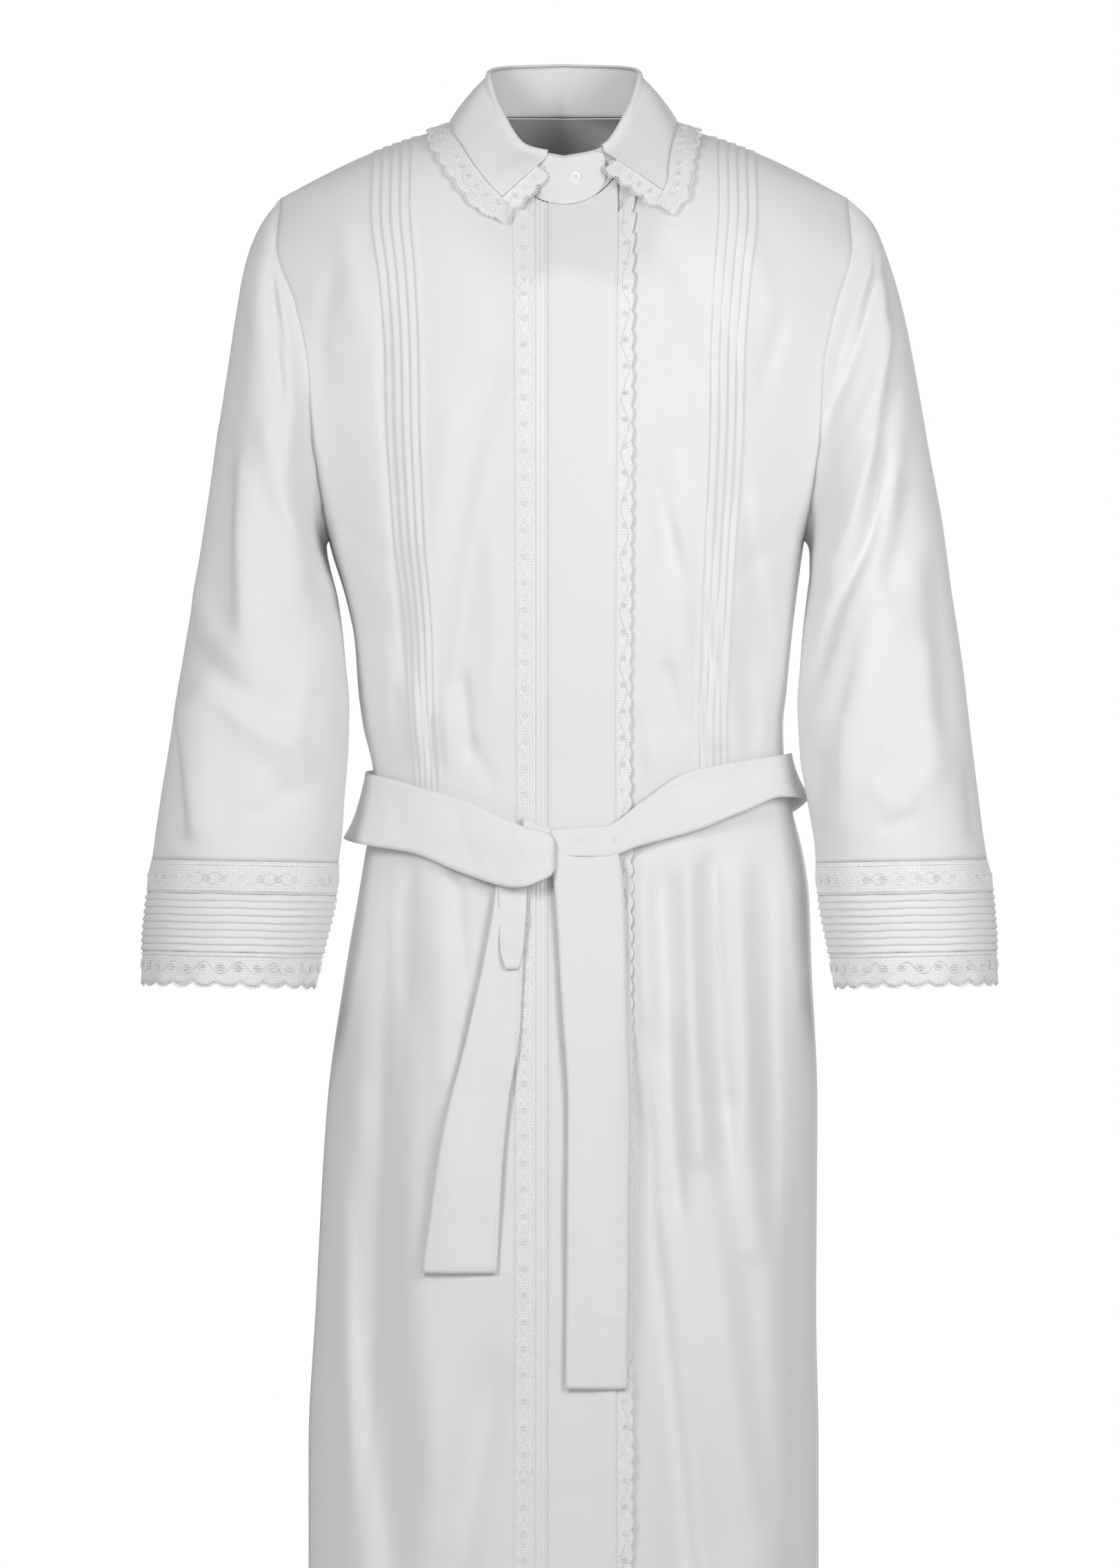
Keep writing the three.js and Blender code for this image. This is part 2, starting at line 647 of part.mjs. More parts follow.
// One ring of a sleeve or cuff through an outermost and an innermost point.
function ringPoint(end, turn) {
  const middle = vector((end.outerX + end.innerX) / 2, end.middleY, (end.outerZ + end.innerZ) / 2);
  const half = vector((end.outerX - end.innerX) / 2, 0, (end.outerZ - end.innerZ) / 2);
  const angle = radians(turn);
  return middle.addScaledVector(half, Math.cos(angle)).add(vector(0, -end.depth * Math.sin(angle), 0));
}

function sleeveRing(rows, ring) {
  const columns = ['outerX', 'outerZ', 'innerX', 'innerZ', 'depth', 'middleY'];
  return Object.fromEntries(columns.map((column) => [column, along(rows, 'ring', ring, column)]));
}

function sleeveFold(name, ring, turn) {
  let rise = 0;
  for (const fold of SLEEVE_FOLDS[name]) {
    const perRing = 42;
    const [runRing, runTurn] = [fold.ring1 - fold.ring0, (fold.turn1 - fold.turn0) / perRing];
    const [awayRing, awayTurn] = [ring - fold.ring0, (turn - fold.turn0) / perRing];
    const share = clamp((awayRing * runRing + awayTurn * runTurn) / (runRing ** 2 + runTurn ** 2), 0, 1);
    const miss = Math.hypot(awayRing - share * runRing, awayTurn - share * runTurn) / fold.width;
    rise += fold.rise * Math.exp(-2.2 * miss * miss);
  }
  return rise * smooth(ring / 1.5) * smooth((SLEEVE_RINGS - ring) / 1.2);
}

function sleevePoint(name, hand, ring, turn) {
  const rows = SLEEVES[name];
  const end = sleeveRing(rows, ring);
  const point = ringPoint(end, turn);
  const blend = clamp(1 - ring / 4, 0, 1) ** 2;
  const first = ringPoint(sleeveRing(rows, 0), turn);
  point.addScaledVector(armholePoint(hand, turn).sub(first), blend);
  const outward = vector(Math.cos(radians(turn)) * hand, -Math.sin(radians(turn)), 0);
  return point.addScaledVector(outward, sleeveFold(name, ring, turn));
}

function sleeveNormal(name, hand, ring, turn) {
  const here = sleevePoint(name, hand, ring, turn);
  if (ring === 0) return vector(0, here.y - SHOULDER_SEAM_Y, here.z - ARMHOLE_MIDDLE).normalize();
  const step = 0.02;
  const [before, after] = [Math.max(ring - step, 0), Math.min(ring + step, SLEEVE_RINGS)];
  const run = sleevePoint(name, hand, after, turn).sub(sleevePoint(name, hand, before, turn));
  const sweep = sleevePoint(name, hand, ring, turn + 1).sub(sleevePoint(name, hand, ring, turn - 1));
  const normal = sweep.cross(run).normalize();
  const end = sleeveRing(SLEEVES[name], ring);
  const middle = vector((end.outerX + end.innerX) / 2, end.middleY, (end.outerZ + end.innerZ) / 2);
  return normal.dot(here.sub(middle)) < 0 ? normal.negate() : normal;
}

const RING_TURNS = Array.from({ length: RING_SIDES }, (_, index) => (index * 360) / RING_SIDES);

function sleeve(name, hand) {
  const outer = [];
  const inner = [];
  for (let ring = 0; ring <= SLEEVE_RINGS; ring += 1) {
    const outerRow = [];
    const innerRow = [];
    for (const turn of RING_TURNS) {
      const point = sleevePoint(name, hand, ring, turn);
      if (ring === 0) point.x += (hand * SEAM_GAP) / 2;
      const normal = sleeveNormal(name, hand, ring, turn);
      outerRow.push(point);
      innerRow.push(point.clone().addScaledVector(normal, -CLOTH));
    }
    outer.push(outerRow);
    inner.push(innerRow);
  }
  return wall(outer, inner, true);
}

// A ring of the cuff at height z, its size grown by grow.
function cuffRing(name, z, turn, grow) {
  const rows = CUFFS[name];
  const hand = Math.sign(rows[0].outerX);
  const end = {
    outerX: along(rows, 'z', z, 'outerX') + hand * grow,
    innerX: along(rows, 'z', z, 'innerX') - hand * grow,
    outerZ: z,
    innerZ: z - 3,
    depth: along(rows, 'z', z, 'depth') + grow,
    middleY: along(rows, 'z', z, 'middleY'),
  };
  return ringPoint(end, turn);
}

function cuffBand(name, from, to) {
  const heights = [from - SEAM_GAP / 2, to + SEAM_GAP / 2];
  const grid = (grow) => heights.map((z) => RING_TURNS.map((turn) => cuffRing(name, z, turn, grow)));
  return wall(grid(0.2), grid(0.2 - LACE), true);
}

function tuckedCuff(name) {
  const top = CUFF_TOP_Z - SEAM_GAP / 2;
  const foot = CUFF_END_Z + SEAM_GAP / 2;
  const outer = [];
  for (let step = 0; step <= 2 * CUFF_TUCKS; step += 1) {
    const z = lerp(top, foot, step / (2 * CUFF_TUCKS));
    const grow = step % 2 === 1 ? CUFF_TUCK_RISE : 0;
    outer.push(RING_TURNS.map((turn) => cuffRing(name, z, turn, grow)));
  }
  const inner = [top, foot].map((z) => RING_TURNS.map((turn) => cuffRing(name, z, turn, -CLOTH)));
  return wall(outer, inner, true);
}

function cuffLace(name) {
  const sides = 2 * CUFF_SCALLOPS;
  const turns = Array.from({ length: sides }, (_, index) => (index * 360) / sides);
  const top = CUFF_END_Z - SEAM_GAP / 2;
  const grid = (grow) => [
    turns.map((turn) => cuffRing(name, top, turn, grow)),
    turns.map((turn, index) => {
      const z = CUFF_LACE_END_Z + (index % 2 === 0 ? CUFF_SCALLOP_DEPTH : 0);
      return cuffRing(name, z, turn, grow);
    }),
  ];
  return wall(grid(0), grid(-LACE), true);
}

// Collar

// A point of the neckline as the panels have it, straight between their points.
function neckPoint(turn) {
  const across = NECK_HALF * Math.sin(radians(turn));
  const face = Math.cos(radians(turn)) >= 0 ? FRONT : BACK;
  const half = NECK_COLUMNS.back;
  const behind = [...half.map((stop) => -stop), 0, ...[...half].reverse()];
  const stops = face === FRONT ? NECK_COLUMNS.front : behind;
  let index = 0;
  while (index < stops.length - 2 && stops[index + 1] < across) index += 1;
  const share = (across - stops[index]) / (stops[index + 1] - stops[index]);
  return bodyPoint(face, stops[index], SHOULDER_Z).lerp(bodyPoint(face, stops[index + 1], SHOULDER_Z), share);
}

function standTop(turn) {
  const even = Math.abs(((turn + 540) % 360) - 180);
  const halfWidth = along(STAND_TOP, 'turn', even, 'halfWidth');
  const reach = along(STAND_TOP, 'turn', even, 'reach');
  const z = along(STAND_TOP, 'turn', even, 'z');
  return vector(halfWidth * Math.sin(radians(turn)), SHOULDER_SEAM_Y - reach * Math.cos(radians(turn)), z);
}

// The outer face of the stand: height runs from 0 at the neckline to 1 at the fold.
function standPoint(turn, height, inset) {
  const point = neckPoint(turn).lerp(standTop(turn), height);
  const outward = vector(Math.sin(radians(turn)), -Math.cos(radians(turn)), 0);
  return point.addScaledVector(outward, -inset);
}

// The stand winds once round the neck: its start lies under its own tab.
function collarStand() {
  const steps = 44;
  const heights = [0, 0.35, 0.7, 1];
  const rows = { outer: [], inner: [] };
  for (let step = 0; step <= steps; step += 1) {
    const turn = lerp(STAND_FROM, STAND_TO, step / steps);
    const ramp = (turn - STAND_UNDER_UNTIL) / (STAND_RAMP_UNTIL - STAND_UNDER_UNTIL);
    const under = (CLOTH + 0.6) * (1 - smooth(ramp));
    const toEnd = clamp((STAND_TO - turn) / TAB_ROUND, 0, 1);
    const narrow = 0.34 + 0.66 * Math.sqrt(1 - (1 - toEnd) ** 2);
    const place = (height) => 0.5 + (height - 0.5) * narrow;
    const clear = SEAM_GAP + 0.5;
    const point = (height, inset) => {
      const stop = standPoint(turn, place(height), inset);
      stop.z += clear * (1 - height);
      return stop;
    };
    rows.outer.push(heights.map((height) => point(height, under)));
    rows.inner.push(heights.map((height) => point(height, under + CLOTH)));
  }
  return wall(rows.outer, rows.inner);
}

function leafFace(turn) {
  return turn < LEAF_ON_BACK_FROM && turn > LEAF_ON_BACK_TO ? BACK : FRONT;
}

// The rows of the collar, close enough together to bend smoothly round the neck.
function leafRows() {
  const [start, end] = [COLLAR[0].turn, COLLAR[COLLAR.length - 1].turn];
  return Array.from({ length: LEAF_STEPS + 1 }, (_, step) => {
    const turn = lerp(start, end, step / LEAF_STEPS);
    const value = (column) => along(COLLAR, 'turn', turn, column);
    const edge = { edgeX: value('edgeX'), edgeZ: value('edgeZ') };
    return { turn, ...edge, laceX: value('laceX'), laceZ: value('laceZ') };
  });
}

// A point of the collar leaf: share runs from the end of the roll at 0 to the free edge at 1.
function leafPoint(row, share, lift) {
  const roll = LEAF_ROLL[LEAF_ROLL.length - 1];
  const outward = vector(Math.sin(radians(row.turn)), -Math.cos(radians(row.turn)), 0);
  const start = standTop(row.turn).addScaledVector(outward, roll.inOut + lift);
  start.z += roll.up;
  const edge = onBody(leafFace(row.turn), row.edgeX, row.edgeZ, LEAF_LIFT + lift);
  const bend = start.clone().lerp(edge, 0.5).addScaledVector(outward, 4);
  const rest = 1 - share;
  return start.multiplyScalar(rest * rest)
    .addScaledVector(bend, 2 * rest * share)
    .addScaledVector(edge, share * share);
}

function collarLeaf() {
  const outer = [];
  const inner = [];
  for (const row of leafRows()) {
    const outward = vector(Math.sin(radians(row.turn)), -Math.cos(radians(row.turn)), 0);
    const top = standTop(row.turn);
    const rolled = (out, up) => top.clone().addScaledVector(outward, out).add(vector(0, 0, up));
    const shares = Array.from({ length: LEAF_ROWS }, (_, index) => (index + 1) / LEAF_ROWS);
    outer.push([...LEAF_ROLL.map((roll) => rolled(roll.out, roll.up)),
      ...shares.map((share) => leafPoint(row, share, CLOTH))]);
    inner.push([...LEAF_ROLL.map((roll) => rolled(roll.inOut, roll.inUp)),
      ...shares.map((share) => leafPoint(row, share, 0))]);
  }
  return wall(outer, inner);
}

// The lace follows the leaf's front edges and its lower edge. Each stop has the leaf's edge
// and the lace's free edge above the robe.
function collarLacePath() {
  const stops = [];
  const frontEdge = (row, hand) => [0.25, 0.5, 0.75].map((share) => {
    const edge = leafPoint(row, share, 0);
    const free = edge.clone().add(vector(hand * 11, -1.5, -9 - 4 * share));
    return { edge: edge.add(vector(hand * 1.1, 0, -0.6)), free };
  });
  const rows = leafRows();
  stops.push(...frontEdge(rows[0], 1));
  rows.forEach((row) => {
    const steps = vector(row.laceX - row.edgeX, 0, row.laceZ - row.edgeZ).normalize();
    const face = leafFace(row.turn);
    const edge = onBody(face, row.edgeX + steps.x * 0.6, row.edgeZ + steps.z * 0.6, COLLAR_LACE_LIFT);
    const free = onBody(face, row.laceX, row.laceZ, COLLAR_LACE_LIFT - 0.8);
    stops.push({ edge, free });
  });
  stops.push(...frontEdge(rows[rows.length - 1], -1).reverse());
  return stops;
}

function collarLace() {
  const outer = [];
  const inner = [];
  const stops = collarLacePath();
  const up = (stop, lift) => {
    const away = vector(stop.x * 0.008, stop.y * 0.024, 1).normalize();
    return stop.clone().addScaledVector(away, lift);
  };
  stops.forEach((stop, index) => {
    const halves = index < stops.length - 1 ? [0, 0.5] : [0];
    for (const half of halves) {
      const next = stops[Math.min(index + 1, stops.length - 1)];
      const edge = stop.edge.clone().lerp(next.edge, half);
      const free = stop.free.clone().lerp(next.free, half);
      const inward = edge.clone().sub(free).normalize();
      free.addScaledVector(inward, half === 0 ? COLLAR_SCALLOP_DEPTH : 0);
      outer.push([up(edge, LACE), up(free, LACE)]);
      inner.push([edge, free]);
    }
  });
  return wall(outer, inner);
}

function collarButton() {
  const rim = 0.7;
  const profile = [
    new THREE.Vector2(0, 0),
    new THREE.Vector2(BUTTON_RADIUS - rim, 0),
    new THREE.Vector2(BUTTON_RADIUS, rim),
    new THREE.Vector2(BUTTON_RADIUS, BUTTON_THICKNESS - rim),
    new THREE.Vector2(BUTTON_RADIUS - rim, BUTTON_THICKNESS),
    new THREE.Vector2(BUTTON_RADIUS - 2 * rim, BUTTON_THICKNESS - 0.5),
    new THREE.Vector2(0, BUTTON_THICKNESS - 0.5),
  ];
  const geometry = new THREE.LatheGeometry(profile, 20);
  const low = standPoint(BUTTON_TURN, 0, 0);
  const high = standPoint(BUTTON_TURN, 1, 0);
  const share = (BUTTON_Z - low.z) / (high.z - low.z);
  const place = low.clone().lerp(high, share);
  const climb = high.sub(low).normalize();
  const sideways = vector(Math.cos(radians(BUTTON_TURN)), Math.sin(radians(BUTTON_TURN)), 0);
  const outward = sideways.clone().cross(climb).normalize();
  geometry.applyQuaternion(new THREE.Quaternion().setFromUnitVectors(vector(0, 1, 0), outward));
  place.addScaledVector(outward, SEAM_GAP + 0.1);
  geometry.translate(place.x, place.y, place.z);
  return geometry;
}

// Belt

// A place on the body's section at height z; turn is 0 in the middle of the front.
function waistPoint(turn, z, lift) {
  const angle = radians(turn);
  const hand = Math.sin(angle) < 0 ? -1 : 1;
  const face = Math.cos(angle) >= 0 ? FRONT : BACK;
  const side = along(BODY, 'z', z, hand < 0 ? 'left' : 'right');
  const round = along(BODY, 'z', z, 'round');
  const seam = along(BODY, 'z', z, 'seam');
  const middle = along(BODY, 'z', z, face === FRONT ? 'front' : 'back');
  const share = Math.abs(Math.sin(angle)) ** (2 / round);
  const depth = Math.abs(Math.cos(angle)) ** (2 / round);
  const point = vector(side * share, seam + (middle - seam) * depth, z);
  const width = Math.abs(side);
  const reach = Math.abs(middle - seam);
  const outward = vector(hand * share ** (round - 1) / width, face * depth ** (round - 1) / reach, 0);
  return point.addScaledVector(outward.normalize(), lift);
}

function beltRound() {
  const outer = [];
  const inner = [];
  const turns = [BELT[0].turn, BELT[BELT.length - 1].turn];
  for (let step = 0; step <= BELT_STEPS; step += 1) {
    const turn = lerp(turns[0], turns[1], step / BELT_STEPS);
    const value = (column) => along(BELT, 'turn', turn, column);
    const grid = (extra) => [0, 0.5, 1].map((share) => {
      const bulge = 0.8 * Math.sin(Math.PI * share);
      const lift = value('lift') + value('flare') * share ** 1.5 + bulge + extra;
      return waistPoint(turn, lerp(value('top'), value('bottom'), share), lift);
    });
    outer.push(grid(BELT_CLOTH));
    inner.push(grid(0));
  }
  return wall(outer, inner);
}

function beltEnd(rows) {
  const [top, foot] = [rows[0].z, rows[rows.length - 1].z];
  const between = LEVELS.filter((level) => level < top - 8 && level > foot + 8);
  const stops = rows.map((row) => row.z).filter((z) => between.every((level) => Math.abs(level - z) > 12));
  const heights = [...new Set([top, ...between, ...stops, foot])].sort((a, b) => b - a);
  const grid = (extra) => heights.map((z) => {
    const value = (column) => along(rows, 'z', z, column);
    return [0, 0.33, 0.67, 1].map((share) => {
      const x = lerp(value('left'), value('right'), share);
      return onSkin(FRONT, acrossFor(x, z), z, value('lift') + extra);
    });
  });
  return wall(grid(BELT_CLOTH), grid(0));
}

// Materials and assembly

const FINISHES = {
  cotton: { color: 0xf1f1f0, roughness: 0.9, metalness: 0 },
  lace: { color: 0xf4f4f2, roughness: 0.85, metalness: 0 },
  pearl: { color: 0xf6f4ee, roughness: 0.25, metalness: 0 },
};

const kittel = new THREE.Group();

function add(name, finish, geometry) {
  const mesh = new THREE.Mesh(geometry, new THREE.MeshStandardMaterial(FINISHES[finish]));
  mesh.name = name;
  kittel.add(mesh);
}

add('back', 'cotton', back());
add('front_right', 'cotton', frontRight());
add('front_left', 'cotton', frontLeft());
add('placket', 'cotton', placket());
add('lace_band', 'lace', laceBand());
add('lace_edge', 'lace', edgeLace());
add('collar_stand', 'cotton', collarStand());
add('collar_leaf', 'cotton', collarLeaf());
add('collar_lace', 'lace', collarLace());
add('collar_button', 'pearl', collarButton());
for (const [name, hand] of [['right', -1], ['left', 1]]) {
  add(`sleeve_${name}`, 'cotton', sleeve(name, hand));
  add(`cuff_insertion_${name}`, 'lace', cuffBand(name, INSERTION_TOP_Z - SEAM_GAP / 2, CUFF_TOP_Z));
  add(`cuff_${name}`, 'cotton', tuckedCuff(name));
  add(`cuff_lace_${name}`, 'lace', cuffLace(name));
}
add('belt_round', 'cotton', beltRound());
for (const [name, rows] of Object.entries(BELT_ENDS)) add(name, 'cotton', beltEnd(rows));

export default kittel;
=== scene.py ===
"""Dresses the frame of a white cotton kittel with its cloth, lace, stitches and button.

Sizes in the tables are millimetres; meshes are made in metres. The front faces -Y, the
wearer's left hand side is at +X, and the origin is in the middle of the neck.
"""

import math

import bpy
import numpy as np
from bpy.props import FloatProperty, FloatVectorProperty, PointerProperty
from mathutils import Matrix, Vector


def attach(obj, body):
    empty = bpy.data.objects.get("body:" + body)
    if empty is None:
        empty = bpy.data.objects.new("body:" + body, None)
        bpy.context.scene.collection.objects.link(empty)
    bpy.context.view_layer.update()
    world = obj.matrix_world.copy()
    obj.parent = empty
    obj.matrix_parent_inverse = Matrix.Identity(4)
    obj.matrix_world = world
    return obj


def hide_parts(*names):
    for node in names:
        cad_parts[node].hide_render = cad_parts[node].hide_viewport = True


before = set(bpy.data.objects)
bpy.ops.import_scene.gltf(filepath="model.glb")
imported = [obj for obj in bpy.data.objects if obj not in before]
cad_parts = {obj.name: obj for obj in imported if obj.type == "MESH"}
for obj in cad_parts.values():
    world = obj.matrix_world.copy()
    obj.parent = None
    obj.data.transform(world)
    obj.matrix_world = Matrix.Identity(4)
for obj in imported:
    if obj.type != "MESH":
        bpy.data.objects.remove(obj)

bl_info = {
    "name": "Kittel",
    "version": (1, 0, 0),
    "blender": (4, 5, 0),
    "location": "View3D > Sidebar > Kittel",
    "description": "Makes the cloth, lace, stitches and button of a white cotton kittel",
    "category": "Object",
}

MM = 0.001
METRE = 1000

# Shoulders, armholes, neckline and length
SHOULDER_HALF = 240
SHOULDER_Z = -56
UNDERARM_Z = -345
HEM_Z = -1290
ARMHOLE_HALF_DEPTH = 61
SHOULDER_SEAM_Y = 4
NECK_HALF = 64
NECK_SIDE_Z = 12
NECK_FRONT_DROP = 76
NECK_BACK_RISE = 2
SHOULDER_BOW = 9
ARMHOLE_MIDDLE = (SHOULDER_Z + UNDERARM_Z) / 2
ARMHOLE_HALF = (SHOULDER_Z - UNDERARM_Z) / 2

# Lapped front, measured across the chest from the middle of the neck
LACE_BAND_FROM = -43
PINTUCKS_FROM = -25
PLACKET_FROM = -14
PLACKET_TO = 45
EDGE_LACE_TO = 60
EDGE_LACE_TOP_Z = -84
UNDERLAP_RAMP_FROM = 62
UNDERLAP_RAMP_TO = 84
UNDERLAP_DEPTH = 2.2
LAP_FROM = 58
SIDE_TO = 62
BAND_EDGE = 1.6
BAND_LIFT = 0.2

# Raised work and laces
TUCK_COUNT = 5
TUCK_PITCH = 8
TUCKS_FROM = 122
TUCKS_END_Z = -575
SIDE_TUCKS_BEYOND = 100
PINTUCK_COUNT = 3
CUFF_TUCKS = 8
EDGE_SCALLOP = 14
EDGE_SCALLOP_DEPTH = 3.2
CUFF_SCALLOPS = 22
CUFF_SCALLOP_DEPTH = 5
COLLAR_SCALLOP_DEPTH = 3.5
COLLAR_SCALLOP = 15
LACE_THICKNESS = 0.8

# Cuffs, collar, button
CUFF_TOP_Z = -642
CUFF_END_Z = -691
CUFF_LACE_END_Z = -719
INSERTION_TOP_Z = -614.2
INSERTION_CHAIN_Z = -617.5
INSERTION_MIDDLE_Z = -628.5
CUFF_LACE_MIDDLE_Z = -703.0
STAND_FROM = -12
STAND_TO = 394
STAND_UNDER_UNTIL = 46
STAND_RAMP_UNTIL = 80
TAB_ROUND = 12
LEAF_ON_BACK_FROM = -94
LEAF_ON_BACK_TO = -266
LEAF_LIFT = 4.6
COLLAR_LACE_LIFT = 4.6
COLLAR_LACE_TUCKED = 3.5
LEAF_STITCH_LIFT = 1.45
BUTTON_TURN = 8.5
BUTTON_Z = -40
BUTTON_RADIUS = 5.2
BUTTON_HEIGHT = 2.2
BUTTON_LIFT = 0.4
BUTTON_RIM = 0.9
BUTTON_DISH = 0.55
BUTTON_HOLE_AT = 0.95

FRONT = -1
BACK = 1

# How the cloth turns from the ridge into the face: power and depth, at the neck and shoulder
NECK_ROLL = {FRONT: 1.05, BACK: 2.6}
NECK_FALL = {FRONT: 150, BACK: 125}
SHOULDER_ROLL = 2.1
SHOULDER_FALL = 125

# Folds and creases: how fast they fall away to the side and how short they run out at the ends
FOLD_FALL_OFF = 2.2
CREASE_FALL_OFF = 1.7
CREASE_TAPER = 0.22
RIPPLE_SEEDS = {FRONT: 11, BACK: 12}
SLEEVE_RIPPLE_SEED = 21
BELT_LINE_Z = -568
BELT_DIP = 28

# Rows and stitching
ARMHOLE_ROWS = 46
LOWER_ROWS = 136
SLEEVE_SIDES = 132
HEM_LINE_Z = HEM_Z + 16
HEM_LINE_TO = 238
SEAM_LIFT = 0.05


def table(columns, *rows):
    """A table whose named columns are arrays."""
    return {name: np.array(values, float) for name, values in zip(columns.split(), zip(*rows))}


# The body from the shoulders to the hem, as the frame has it.
BODY = table(
    "z left right front back seam round",
    (20, -240, 240, -108, 104, 4, 2.3),
    (-56, -240, 240, -112, 106, 4, 2.3),
    (-98, -243, 243, -118, 110, 4, 2.3),
    (-145, -227, 230, -123, 114, 4, 2.4),
    (-200, -216, 219, -127, 116, 3, 2.4),
    (-256, -213, 216, -128, 116, 2, 2.4),
    (-303, -206, 210, -127, 114, 1, 2.4),
    (-345, -199, 203, -125, 111, 0, 2.4),
    (-396, -184, 196, -122, 107, -2, 2.4),
    (-430, -177, 192, -119, 104, -3, 2.4),
    (-472, -174, 188, -116, 100, -4, 2.4),
    (-501, -170, 185, -113, 98, -5, 2.4),
    (-545, -161, 187, -109, 95, -5, 2.4),
    (-575, -162, 193, -110, 96, -5, 2.4),
    (-610, -168, 202, -114, 101, -5, 2.3),
    (-646, -174, 207, -119, 108, -5, 2.3),
    (-704, -184, 209, -126, 117, -5, 2.2),
    (-820, -200, 214, -134, 127, -5, 2.2),
    (-995, -210, 213, -142, 135, -5, 2.2),
    (-1111, -216, 215, -146, 138, -5, 2.2),
    (-1290, -216, 215, -150, 142, -5, 2.2),
)

# The largest folds, straight from u0, v0 to u1, v1. Those of the body are placed by x and z.
FOLD_COLUMNS = "u0 v0 u1 v1 width rise"
BODY_FOLDS = {
    FRONT: table(
        FOLD_COLUMNS,
        (-70, -215, -104, -470, 26, -4),
        (-94, -250, -126, -500, 20, 3),
        (66, -90, 120, -190, 30, -4),
        (132, -190, 92, -440, 26, 5),
        (96, -270, 72, -500, 22, -4),
        (150, -330, 128, -510, 18, 5),
        (-152, -440, -142, -515, 12, 5),
        (-136, -650, -152, -1000, 22, -5),
        (-100, -700, -104, -1180, 34, 5),
        (84, -640, 92, -900, 18, -4),
        (104, -620, 112, -860, 16, 5),
        (124, -620, 134, -820, 14, -5),
        (146, -630, 160, -940, 18, 5),
        (78, -780, 140, -1180, 38, -6),
        (172, -900, 178, -1290, 26, 5),
        (-178, -820, -186, -1290, 22, 5),
    ),
    BACK: table(
        FOLD_COLUMNS,
        (-60, -330, -44, -500, 24, -5),
        (70, -300, 52, -505, 26, 5),
        (10, -380, 4, -510, 20, 5),
        (-120, -420, -108, -515, 18, 5),
        (128, -400, 116, -510, 18, -5),
        (-96, -610, -116, -1100, 26, 6),
        (-40, -620, -48, -1290, 30, -6),
        (14, -610, 20, -1000, 24, 5),
        (78, -620, 96, -1290, 34, 7),
        (134, -640, 150, -1100, 22, -6),
    ),
}

